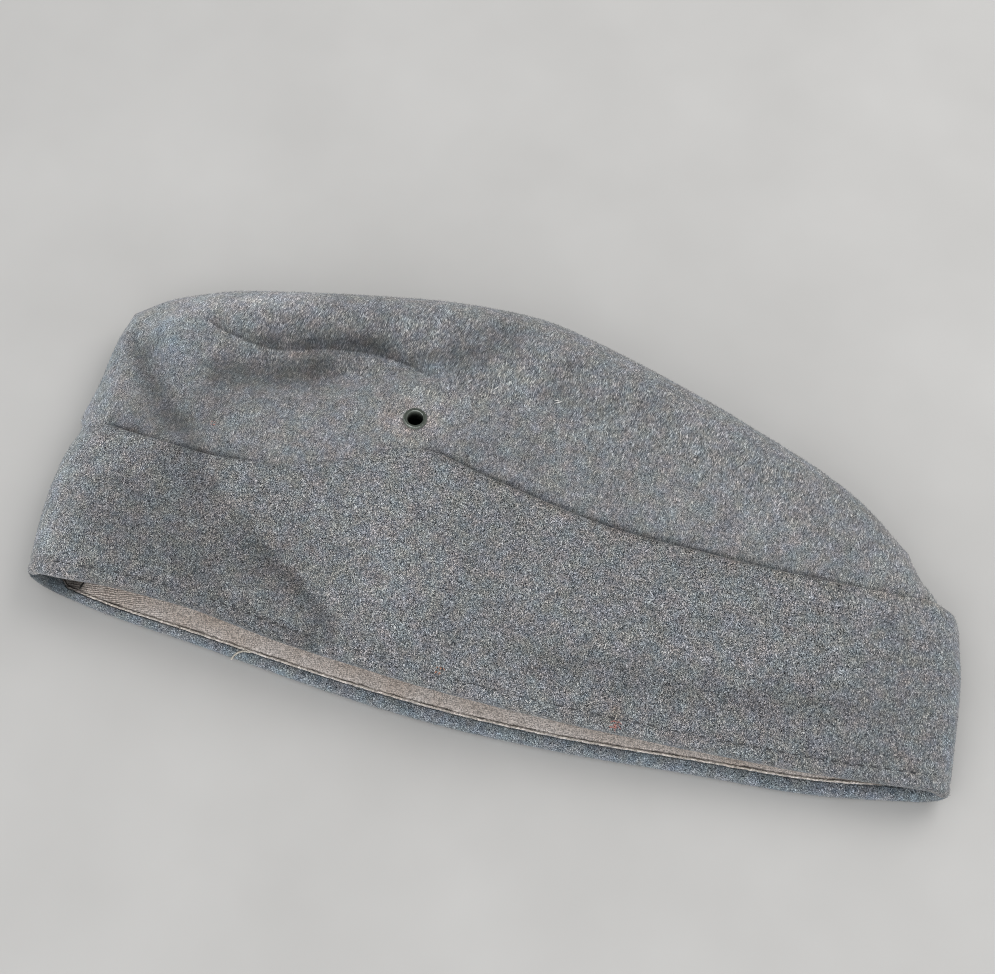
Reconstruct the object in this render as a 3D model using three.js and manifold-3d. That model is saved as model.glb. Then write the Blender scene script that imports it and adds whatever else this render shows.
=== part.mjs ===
// A wool side cap lying on its right side, in millimetres with +Z up.
// The front is towards -X, the rear towards +X, the mouth towards -Y and the ridge of the crown towards +Y.
import * as THREE from 'three';
import { mergeVertices } from 'three/addons/utils/BufferGeometryUtils.js';
import Module from 'manifold-3d';

const wasm = await Module();
wasm.setup();

// Cloth thicknesses, and the air between neighbouring layers
const WOOL = 1.6;
const COTTON = 1.0;
const GAP = 0.3;

// Ribs of the cap from front to rear. A rib starts on the hem at its station, and crosses the middle of the
// curtain, the curtain's edge, the fold line of the crown and the ridge, leaning along X from the station.
const RIBS = table(
  ['station', 'hem', 'setback', 'edge', 'fold', 'ridge', 'middleLean', 'edgeLean', 'foldLean', 'ridgeLean'],
  [-138.2, 0.0, 0.0, 48.6, 76.0, 91.0, -2.4, -1.6, -1.3, 0.9],
  [-130, -1.2, 0.3, 47.8, 79.0, 97.4, -1.2, -0.8, -0.8, 1.0],
  [-116, -3.4, 2.8, 46.1, 83.0, 103.3, 0.0, 0.0, 0.0, 1.5],
  [-88, -6.0, 4.5, 44.6, 81.5, 109.7, 0.0, 0.0, 0.0, 0.0],
  [-60, -9.0, 4.1, 49.9, 88.3, 114.8, 0.0, 0.0, 0.0, 0.0],
  [-37, -11.2, 4.6, 60.5, 86.2, 117.9, 0.0, 0.0, 0.0, 0.0],
  [-10, -12.5, 4.6, 56.0, 87.7, 118.6, 0.0, 0.0, 0.0, 0.0],
  [25, -11.8, 4.1, 49.8, 81.8, 110.6, 0.0, 0.0, 0.0, 0.0],
  [65, -8.8, 3.0, 49.6, 74.0, 98.5, 0.0, 0.0, -1.0, -2.0],
  [102, -5.9, 2.8, 52.2, 68.3, 85.4, 0.0, -2.2, -5.3, -8.2],
  [137.2, -0.6, 0.0, 55.2, 63.7, 71.2, -1.0, -8.0, -15.8, -21.8],
);
const LEANS = ['middleLean', 'edgeLean', 'foldLean', 'ridgeLean'];

// Heights over the floor on the same ribs: the seam between the two sides, and the upper side on each guide.
// The last column is the share of its full width that the roll along the ridge keeps there.
const HEIGHTS = table(
  ['station', 'seam', 'hem', 'edge', 'fold', 'ridge', 'rollShare'],
  [-138.2, 9.0, 15.0, 17.0, 18.0, 18.0, 0.9],
  [-130, 9.2, 15.8, 18.0, 19.0, 19.3, 0.94],
  [-116, 9.5, 17.0, 19.5, 20.5, 21.5, 1.0],
  [-88, 10.0, 18.5, 21.5, 23.0, 25.0, 1.0],
  [-60, 10.5, 18.3, 23.5, 25.0, 27.5, 1.0],
  [-37, 11.0, 18.1, 24.0, 26.0, 28.0, 1.0],
  [-10, 11.0, 17.5, 24.5, 27.5, 28.0, 1.0],
  [25, 11.0, 16.1, 24.5, 27.5, 26.0, 1.0],
  [65, 10.0, 14.0, 22.0, 24.5, 22.5, 0.9],
  [102, 8.5, 12.2, 17.5, 19.0, 18.0, 0.7],
  [137.2, 7.0, 11.8, 14.5, 15.0, 14.5, 0.5],
);
const FRONT = RIBS.station[0];
const REAR = RIBS.station.at(-1);
const GUIDES = ['hem', 'edge', 'fold', 'ridge'];
const EDGE = 1 / 3; // v of the curtain's edge on every rib
const FOLD = 2 / 3; // v of the crown's fold line

// Folds and dents pressed into the upper side: a path in plan, how far the cloth rises or sinks along it,
// how far that spreads to its left and right, and the share of the path over which each end fades
const FOLD_STEPS = 24;
const FOLDS = [
  { rise: -4.6, left: 9.0, right: 7.0, fade: 0.25,
    path: [[-110, 82], [-93, 77], [-80, 76.5], [-66, 80], [-54, 87], [-43, 89], [-26, 87]] },
  { rise: -1.6, left: 5.0, right: 4.0, fade: 0.3, path: [[-60, 91], [-48, 92], [-34, 93], [-20, 94]] },
  { rise: 1.2, left: 4.0, right: 4.0, fade: 0.3, path: [[-48, 83], [-37, 82.5], [-27, 85]] },
  { rise: -3.0, left: 7.0, right: 5.0, fade: 0.25, path: [[-137, 82], [-121, 62], [-104, 47]] },
  { rise: 2.0, left: 6.0, right: 6.0, fade: 0.3, path: [[-126, 92], [-118, 78], [-108, 64]] },
  { rise: -3.0, left: 9.0, right: 7.0, fade: 0.25, path: [[-82, 22], [-64, 12], [-44, 0]] },
  { rise: 1.5, left: 8.0, right: 8.0, fade: 0.3, path: [[-69, 37], [-55, 24], [-37, 7]] },
  { rise: -0.8, left: 5.0, right: 5.0, fade: 0.4, path: [[4, 103], [2, 92], [0, 80]] },
].map((fold) => ({
  ...fold,
  points: new THREE.SplineCurve(fold.path.map(([x, y]) => new THREE.Vector2(x, y))).getPoints(FOLD_STEPS),
}));

// The two sides: which way each faces, how wide it rolls over at the seam, and how finely it is divided.
// The rows are shares of the way from the hem to the edge, to the fold line and to the ridge.
const LEFT = {
  facing: 1,
  roll: { front: 12, ridge: 16, rear: 7 },
  rollSteps: 4,
  stationSteps: 26,
  rows: [[1 / 6, 1 / 3, 1 / 2, 2 / 3, 5 / 6, 1], [0.3, 0.6, 0.87, 1], [0.12, 0.3, 0.55, 0.78, 0.94, 1]],
};
const RIGHT = {
  facing: -1,
  roll: { front: 10, ridge: 12, rear: 7 },
  rollSteps: 4,
  stationSteps: 18,
  rows: [[1 / 3, 2 / 3, 1], [0.15, 0.4, 0.7, 1], [0.35, 0.57, 0.78, 0.94, 1]],
};
// Past the curtain's edge the right side comes down to the floor, on ribs long enough to reach it
const SLOPE = { start: 16, length: 14, shortRib: 30, longRib: 46 };

// The curtain's rounded foot round the hem: angle of each outer point, and offset of the inner one over it
const FOOT = {
  radius: WOOL + GAP / 2,
  centre: GAP / 2,
  angles: [45, 90, 135, 165],
  inner: [-0.05, -0.45, -0.9, -1.4],
};
const LINING_RISE = { front: 0.5, rear: 2.4 }; // how far the lining's lower edge lies above the hem

// Air eyelet: its place on the crown and its turned profile
const EYELET = { station: -38.5, share: 0.32, hole: 2.8, punch: 16, spread: 0.035, segments: 24 };
const EYELET_BACK = -(WOOL + COTTON + 3 * GAP);
const EYELET_END = EYELET_BACK - 0.5;
const EYELET_PROFILE = [
  [1.9, EYELET_END], [1.9, 0.0], [2.4, 0.7], [2.9, 0.92], [3.5, 0.75], [3.7, GAP], [2.4, GAP],
  [2.4, EYELET_BACK], [3.2, EYELET_BACK], [3.2, EYELET_END], [1.9, EYELET_END],
];

const MATERIALS = {
  wool: new THREE.MeshStandardMaterial({ color: 0x7f8488, roughness: 0.95 }),
  cotton: new THREE.MeshStandardMaterial({ color: 0xa39682, roughness: 0.9 }),
  paint: new THREE.MeshStandardMaterial({ color: 0x5b625a, roughness: 0.5, metalness: 0.4 }),
};

function table(names, ...rows) {
  return Object.fromEntries(names.map((name, column) => [name, rows.map((row) => row[column])]));
}

function smoothstep(t) {
  const x = THREE.MathUtils.clamp(t, 0, 1);
  return x * x * (3 - 2 * x);
}

// Cubic curve through values at the knots. An inner knot's slope is blended from the rates on both sides.
function spline(knots, values, t, blend) {
  const last = knots.length - 1;
  const span = (i) => knots[i + 1] - knots[i];
  const rate = (i) => (values[i + 1] - values[i]) / span(i);
  const slope = (i) => {
    if (i === 0) return rate(0);
    if (i === last) return rate(last - 1);
    return blend(rate(i - 1), rate(i), span(i - 1), span(i));
  };
  let i = 0;
  while (i < last - 1 && t > knots[i + 1]) i += 1;
  const x = (t - knots[i]) / span(i);
  const start = values[i] * (1 + 2 * x) * (1 - x) ** 2 + slope(i) * span(i) * x * (1 - x) ** 2;
  const end = values[i + 1] * x * x * (3 - 2 * x) + slope(i + 1) * span(i) * x * x * (x - 1);
  return start + end;
}

const flowing = (before, after, spanBefore, spanAfter) =>
  (before * spanAfter + after * spanBefore) / (spanBefore + spanAfter);
const unbulged = (before, after) => (before * after > 0 ? (2 * before * after) / (before + after) : 0);
const along = (columns, name, station) => spline(columns.station, columns[name], station, flowing);
const between = (values, v) => spline([0, EDGE, FOLD, 1], values, v, unbulged);
const leaning = (values, v) => spline([0, EDGE / 2, EDGE, FOLD, 1], values, v, unbulged);

// Place in plan of share v of a rib: 0 on the hem, 1 on the ridge. The upper hem is set back from the lower.
function plan(side, station, v) {
  const setback = side.facing > 0 ? along(RIBS, 'setback', station) : 0;
  const hem = along(RIBS, 'hem', station) + setback;
  const lean = leaning([0, ...LEANS.map((name) => along(RIBS, name, station))], v);
  const y = between([hem, ...['edge', 'fold', 'ridge'].map((n) => along(RIBS, n, station))], v);
  return new THREE.Vector2(station + lean, y);
}

const steps = (count) => Array.from({ length: count + 1 }, (_, i) => i / count);

// Distance from a place in plan to the nearest stretch of a line of points, and where along the line that is
function nearestOn(points, place) {
  let nearest = { distance: Infinity };
  for (let i = 0; i < points.length - 1; i += 1) {
    const run = points[i + 1].clone().sub(points[i]);
    const way = place.clone().sub(points[i]);
    const share = THREE.MathUtils.clamp(way.dot(run) / run.lengthSq(), 0, 1);
    const distance = way.distanceTo(run.clone().multiplyScalar(share));
    if (distance < nearest.distance) {
      nearest = { distance, at: (i + share) / (points.length - 1), onLeft: run.cross(way) > 0 };
    }
  }
  return nearest;
}

// The seam in plan, which both sides share, as lines of points
const SEAM_STEPS = { end: 16, ridge: 64 };
const SEAM = {
  front: steps(SEAM_STEPS.end).map((v) => plan(LEFT, FRONT, v)),
  ridge: steps(SEAM_STEPS.ridge).map((share) => plan(LEFT, THREE.MathUtils.lerp(FRONT, REAR, share), 1)),
  rear: steps(SEAM_STEPS.end).map((v) => plan(LEFT, REAR, v)),
};
const NEAREST = 8; // power by which the nearest of the three outweighs the others

// 0 on the seam round the front, ridge and rear, rising as a quarter circle to 1 inside the roll's width
function rollOver(side, station, v) {
  if (station === FRONT || station === REAR || v === 1) return 0;
  const here = plan(side, station, v);
  const ridgeRoll = side.roll.ridge * along(HEIGHTS, 'rollShare', station);
  const shares = [
    nearestOn(SEAM.front, here).distance / side.roll.front,
    nearestOn(SEAM.ridge, here).distance / ridgeRoll,
    nearestOn(SEAM.rear, here).distance / side.roll.rear,
  ];
  const share = Math.min(shares.reduce((sum, d) => sum + d ** -NEAREST, 0) ** (-1 / NEAREST), 1);
  return Math.sqrt(1 - (1 - share) ** 2);
}

// Outer face of the crown before folds are pressed into it
function form(side, station, v) {
  const { x, y } = plan(side, station, v);
  const seam = along(HEIGHTS, 'seam', station);
  const roll = rollOver(side, station, v);
  if (side.facing > 0) {
    const height = between(GUIDES.map((name) => along(HEIGHTS, name, station)), v);
    return new THREE.Vector3(x, y, seam + (height - seam) * roll);
  }
  const edge = plan(side, station, EDGE);
  const past = v > EDGE ? edge.distanceTo(new THREE.Vector2(x, y)) : 0;
  const rib = edge.distanceTo(plan(side, station, 1));
  const reach = smoothstep((rib - SLOPE.shortRib) / (SLOPE.longRib - SLOPE.shortRib));
  const floor = (WOOL + GAP) * (1 - reach * smoothstep((past - SLOPE.start) / SLOPE.length));
  const lowerSeam = seam - GAP;
  return new THREE.Vector3(x, y, lowerSeam + (floor - lowerSeam) * roll);
}

// Directions up the rib and out of the cloth, taken just inside the seam, where the roll has a slope.
// On the seam itself both are level.
function directions(side, station, v) {
  const step = 0.01;
  const share = step / 100;
  const s = THREE.MathUtils.clamp(station, FRONT + step, REAR - step);
  const t = Math.min(v, 1 - share);
  const forward = form(side, s + step, t).sub(form(side, s - step, t)).normalize();
  const up = form(side, s, t + share).sub(form(side, s, Math.max(t - share, 0))).normalize();
  const out = forward.cross(up).multiplyScalar(side.facing);
  if (rollOver(side, station, v) === 0) {
    up.setZ(0);
    out.setZ(0);
  }
  return { up: up.normalize(), out: out.normalize() };
}

// How far a fold lifts the cloth at a place in plan
function foldRise({ points, rise, left, right, fade }, place) {
  const { distance, at, onLeft } = nearestOn(points, place);
  const ends = smoothstep(at / fade) * smoothstep((1 - at) / fade);
  return rise * ends * Math.exp(-((distance / (onLeft ? left : right)) ** 2));
}

function folded(side, station, v) {
  if (side.facing < 0) return 0;
  const place = plan(side, station, v);
  const total = FOLDS.reduce((sum, fold) => sum + foldRise(fold, place), 0);
  return total * rollOver(side, station, v) ** 2;
}

// A point of a wall: share v of its rib, offset out of the crown's face, and drop past the rib's end
function wallPoint(side, station, { v, offset, drop = 0 }) {
  const { up, out } = directions(side, station, v);
  const rise = folded(side, station, v) + offset;
  return form(side, station, v).addScaledVector(out, rise).addScaledVector(up, -drop);
}

function stationsOf(side) {
  const rollShares = steps(side.rollSteps).slice(0, -1).map((turn) => 1 - Math.cos((turn * Math.PI) / 2));
  const front = rollShares.map((share) => FRONT + share * side.roll.front);
  const rear = rollShares.map((share) => REAR - share * side.roll.rear).reverse();
  const start = FRONT + side.roll.front;
  const span = REAR - side.roll.rear - start;
  const middle = steps(side.stationSteps).map((share) => start + span * share);
  return [...front, ...middle, ...rear];
}

const rowsOf = (side, zones) => side.rows.slice(0, zones).flatMap((shares, zone) =>
  shares.map((share) => (zone + share) * EDGE));

// A closed wall between two chains of points that have the same length, swept along the stations
function wallGeometry(side, chains) {
  const stations = stationsOf(side);
  const positions = [];
  const indices = [];
  const loops = stations.map((station) => {
    const { outer, inner } = chains(station);
    return [...outer, ...inner.toReversed()];
  });
  loops.forEach((loop, i) => {
    loop.forEach((point) => positions.push(...wallPoint(side, stations[i], point).toArray()));
  });
  const loopLength = loops[0].length;
  const quad = (a, b, c, d) => {
    const corners = side.facing > 0 ? [a, b, c, a, c, d] : [a, c, b, a, d, c];
    indices.push(...corners);
  };
  for (let i = 0; i < stations.length - 1; i += 1) {
    for (let j = 0; j < loopLength; j += 1) {
      const next = (j + 1) % loopLength;
      const here = i * loopLength;
      const ahead = here + loopLength;
      const corners = [here + j, ahead + j, ahead + next, here + next];
      // All faces are split along the same diagonals of the cap, so that neighbouring layers nest
      if (loops[i][next].v > loops[i][j].v) quad(...corners);
      else quad(...corners.slice(1), corners[0]);
    }
  }
  const lastLoop = (stations.length - 1) * loopLength;
  for (let j = 0; j < loopLength / 2 - 1; j += 1) {
    const across = loopLength - 1 - j;
    quad(j, j + 1, across - 1, across);
    quad(lastLoop + j, lastLoop + across, lastLoop + across - 1, lastLoop + j + 1);
  }
  const geometry = new THREE.BufferGeometry();
  geometry.setAttribute('position', new THREE.Float32BufferAttribute(positions, 3));
  geometry.setIndex(indices);
  return geometry;
}

function crownGeometry(side) {
  const chain = (offset) => [{ v: 0, offset, drop: -GAP }, ...rowsOf(side, 3).map((v) => ({ v, offset }))];
  return wallGeometry(side, () => ({ outer: chain(0), inner: chain(-WOOL) }));
}

function liningGeometry(side) {
  const outside = -WOOL - GAP;
  return wallGeometry(side, (station) => {
    const share = (station - FRONT) / (REAR - FRONT);
    const rise = THREE.MathUtils.lerp(LINING_RISE.front, LINING_RISE.rear, smoothstep(share));
    const chain = (offset) => [{ v: 0, offset, drop: -rise }, ...rowsOf(side, 3).map((v) => ({ v, offset }))];
    return { outer: chain(outside), inner: chain(outside - COTTON) };
  });
}

function curtainGeometry(side) {
  const chain = (offset) => [...rowsOf(side, 1).reverse(), 0].map((v) => ({ v, offset }));
  const footOuter = FOOT.angles.map((degrees) => {
    const angle = THREE.MathUtils.degToRad(degrees);
    return { v: 0, offset: FOOT.centre + FOOT.radius * Math.cos(angle), drop: FOOT.radius * Math.sin(angle) };
  });
  const footInner = FOOT.inner.map((offset) => ({ v: 0, offset }));
  const outer = [...chain(GAP + WOOL), ...footOuter];
  const inner = [...chain(GAP), ...footInner];
  return wallGeometry(side, () => ({ outer: inner, inner: outer }));
}

const WELD = 1e-4; // points closer than this are one

function toSolid(geometry) {
  const bare = new THREE.BufferGeometry().setAttribute('position', geometry.getAttribute('position'));
  const merged = mergeVertices(bare.setIndex(geometry.index), WELD);
  const vertProperties = merged.getAttribute('position').array;
  const triVerts = new Uint32Array(merged.index.array);
  return new wasm.Manifold(new wasm.Mesh({ numProp: 3, vertProperties, triVerts }));
}

function toGeometry(solid) {
  const { vertProperties, triVerts } = solid.getMesh();
  const geometry = new THREE.BufferGeometry();
  geometry.setAttribute('position', new THREE.BufferAttribute(vertProperties, 3));
  return geometry.setIndex(new THREE.BufferAttribute(triVerts, 1));
}

// Where the eyelet sits on the crown's face, and the turn that stands its axis along the cloth's normal
function eyeletSeat(side) {
  const v = EDGE + EYELET.share * (FOLD - EDGE);
  const at = (along, up) => wallPoint(side, EYELET.station + along, { v: v + up, offset: 0 });
  const forward = at(EYELET.hole, 0).sub(at(-EYELET.hole, 0));
  const upward = at(0, EYELET.spread).sub(at(0, -EYELET.spread));
  const normal = forward.cross(upward).normalize().multiplyScalar(side.facing);
  const turn = new THREE.Quaternion().setFromUnitVectors(new THREE.Vector3(0, 1, 0), normal);
  return { position: at(0, 0), turn };
}

function punched(geometry, side) {
  const { position, turn } = eyeletSeat(side);
  const punch = new THREE.CylinderGeometry(EYELET.hole, EYELET.hole, EYELET.punch, EYELET.segments);
  punch.applyQuaternion(turn).translate(position.x, position.y, position.z);
  return toGeometry(toSolid(geometry).subtract(toSolid(punch)));
}

function named(name, geometry, material) {
  const mesh = new THREE.Mesh(geometry, material);
  mesh.name = name;
  return mesh;
}

function eyeletMesh(side, name) {
  const profile = EYELET_PROFILE.map(([radius, height]) => new THREE.Vector2(radius, height)).reverse();
  const mesh = named(name, new THREE.LatheGeometry(profile, EYELET.segments), MATERIALS.paint);
  const { position, turn } = eyeletSeat(side);
  mesh.position.copy(position);
  mesh.quaternion.copy(turn);
  return mesh;
}

const cap = new THREE.Group();
for (const [hand, side] of [['left', LEFT], ['right', RIGHT]]) {
  cap.add(
    named(`crown_${hand}`, punched(crownGeometry(side), side), MATERIALS.wool),
    named(`lining_${hand}`, punched(liningGeometry(side), side), MATERIALS.cotton),
    named(`curtain_${hand}`, curtainGeometry(side), MATERIALS.wool),
    eyeletMesh(side, `eyelet_${hand}`),
  );
}

// The origin is under the middle of the cap, on the floor
const box = new THREE.Box3().setFromObject(cap, true);
const centre = box.getCenter(new THREE.Vector3());
cap.position.set(-centre.x, -centre.y, -box.min.z);
const part = new THREE.Group().add(cap);

export default part;
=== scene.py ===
import math

import bmesh
import bpy
import numpy as np
from mathutils import Matrix, Vector


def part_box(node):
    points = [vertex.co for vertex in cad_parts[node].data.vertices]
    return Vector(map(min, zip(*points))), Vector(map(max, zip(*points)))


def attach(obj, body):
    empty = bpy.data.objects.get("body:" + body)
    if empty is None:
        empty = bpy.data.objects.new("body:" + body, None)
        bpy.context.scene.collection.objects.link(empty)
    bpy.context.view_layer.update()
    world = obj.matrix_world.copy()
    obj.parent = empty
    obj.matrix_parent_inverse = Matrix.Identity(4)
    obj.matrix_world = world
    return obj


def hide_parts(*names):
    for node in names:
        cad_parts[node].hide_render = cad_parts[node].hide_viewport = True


# A grey wool side cap lies on its right side: front towards -X, mouth towards -Y, ridge towards +Y.
# Shapes are worked out in millimetres from the ends of the hem, and go into the frame in metres.
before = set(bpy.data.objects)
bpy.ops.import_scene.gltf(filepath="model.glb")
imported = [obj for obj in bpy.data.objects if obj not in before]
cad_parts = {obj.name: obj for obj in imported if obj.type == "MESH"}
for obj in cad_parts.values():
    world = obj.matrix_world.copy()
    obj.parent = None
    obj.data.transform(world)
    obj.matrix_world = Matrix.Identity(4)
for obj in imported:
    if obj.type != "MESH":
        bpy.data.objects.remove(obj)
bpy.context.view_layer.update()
MM = 0.001

# Cloth thicknesses, and the air between neighbouring layers
WOOL = 1.6
COTTON = 1.0
GAP = 0.3


def table(names, *rows):
    return {name: np.array(column, float) for name, column in zip(names.split(), zip(*rows))}


# Ribs of the cap from front to rear. A rib starts on the hem at its station, and crosses the middle of the
# curtain, the curtain's edge, the fold line of the crown and the ridge, leaning along X from the station.
RIBS = table(
    "station hem setback edge fold ridge middle_lean edge_lean fold_lean ridge_lean",
    (-138.2, 0.0, 0.0, 48.6, 76.0, 91.0, -2.4, -1.6, -1.3, 0.9),
    (-130, -1.2, 0.3, 47.8, 79.0, 97.4, -1.2, -0.8, -0.8, 1.0),
    (-116, -3.4, 2.8, 46.1, 83.0, 104.0, 0.0, 0.0, 0.0, 1.5),
    (-88, -6.0, 4.5, 44.6, 81.5, 110.2, 0.0, 0.0, 0.0, 0.0),
    (-60, -9.0, 4.1, 49.9, 88.3, 114.8, 0.0, 0.0, 0.0, 0.0),
    (-37, -11.2, 4.6, 60.5, 86.2, 117.9, 0.0, 0.0, 0.0, 0.0),
    (-10, -12.5, 4.6, 56.0, 87.7, 118.6, 0.0, 0.0, 0.0, 0.0),
    (25, -11.8, 4.1, 49.8, 81.8, 110.6, 0.0, 0.0, 0.0, 0.0),
    (65, -8.8, 3.0, 49.6, 74.0, 98.5, 0.0, 0.0, -1.0, -2.0),
    (102, -5.9, 2.8, 52.2, 68.3, 86.2, 0.0, -2.2, -5.3, -8.2),
    (137.2, 0.8, -0.4, 55.2, 63.7, 71.2, -2.2, -9.8, -17.6, -22.2),
)
LEANS = ("middle_lean", "edge_lean", "fold_lean", "ridge_lean")
# Heights over the floor on the same ribs: the seam between the two sides, and the upper side on each guide.
# The last column is the share of its full width that the roll along the ridge keeps there.
HEIGHTS = table(
    "station seam hem edge fold ridge roll_share",
    (-138.2, 9.0, 15.0, 17.0, 18.0, 18.0, 0.9),
    (-130, 9.2, 15.8, 18.0, 19.0, 19.3, 0.94),
    (-116, 9.5, 17.0, 19.5, 20.5, 21.5, 1.0),
    (-88, 10.0, 18.5, 21.5, 23.0, 25.0, 1.0),
    (-60, 10.5, 18.3, 23.5, 25.0, 27.5, 1.0),
    (-37, 11.0, 18.1, 24.0, 26.0, 28.0, 1.0),
    (-10, 11.0, 17.5, 24.5, 27.5, 28.0, 1.0),
    (25, 11.0, 16.1, 24.5, 27.5, 26.0, 1.0),
    (65, 10.0, 14.0, 22.0, 24.5, 22.5, 0.9),
    (102, 8.5, 12.2, 17.5, 19.0, 18.0, 0.7),
    (137.2, 7.0, 11.8, 14.5, 15.0, 14.5, 0.5),
)
FRONT, REAR = RIBS["station"][0], RIBS["station"][-1]
GUIDES = ("hem", "edge", "fold", "ridge")
EDGE, FOLD = 1 / 3, 2 / 3  # shares of every rib where it crosses the curtain's edge and the fold line
GUIDE_KNOTS = (0, EDGE, FOLD, 1)
LEAN_KNOTS = (0, EDGE / 2, EDGE, FOLD, 1)

# Folds and dents pressed into the upper side: how far the cloth rises or sinks along a path in plan,
# how far that spreads to its left and right, and the share of the path over which each end fades
FOLD_STEPS = 48
CREASE = ((-117.9, 94), (-109.7, 89.2), (-105.6, 87.6), (-98.9, 86.1), (-90.8, 85.1), (-86.3, 85.3),
          (-80.8, 86.3), (-75.4, 87.8), (-69.9, 89), (-65, 89.8), (-57, 90.9), (-51.2, 90.7),
          (-46.8, 89.9), (-43, 88.4), (-38.1, 85.4), (-33, 83.3))
HOLLOW = ((-112, 71), (-103.8, 74.3), (-96.7, 76.3), (-89.5, 77.9), (-81.4, 79.2), (-75.3, 80.5),
          (-69.5, 82.7), (-62, 85.5))
CREASE_LIP = ((-85.5, 83.8), (-80.2, 84.7), (-75, 86.1))
BRANCH = ((-42, 91), (-33, 92.5), (-25, 98), (-17, 106), (-9, 113))
VALLEY = ((-138, 82.5), (-133.7, 79), (-125.7, 70.4), (-120.2, 62.9), (-112, 55.5), (-106.6, 51.9), (-98, 47))
PUFF = ((-126.5, 90.5), (-119.5, 79), (-116, 68))
DIAGONAL = ((-106, 52), (-97, 42), (-94, 36.5), (-79.8, 25.8), (-64.5, 15.8), (-48.5, 3.5), (-40, -4))
FOLDS = (
    (-4.6, 9.0, 7.0, 0.25, ((-110, 82), (-93, 77), (-80, 76.5), (-66, 80), (-54, 87), (-43, 89), (-26, 87))),
    (-1.7, 1.4, 2.4, 0.12, CREASE),
    (-1.2, 5.0, 4.0, 0.3, BRANCH),
    (1.2, 4.0, 4.0, 0.3, ((-48, 83), (-37, 82.5), (-27, 85))),
    (-3.0, 7.0, 5.0, 0.25, VALLEY),
    (2.0, 6.0, 6.0, 0.3, PUFF),
    (-3.0, 9.0, 7.0, 0.25, ((-82, 22), (-64, 12), (-44, 0))),
    (1.5, 8.0, 8.0, 0.3, ((-69, 37), (-55, 24), (-37, 7))),
    (-0.8, 5.0, 5.0, 0.4, ((4, 103), (2, 92), (0, 80))),
)
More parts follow.
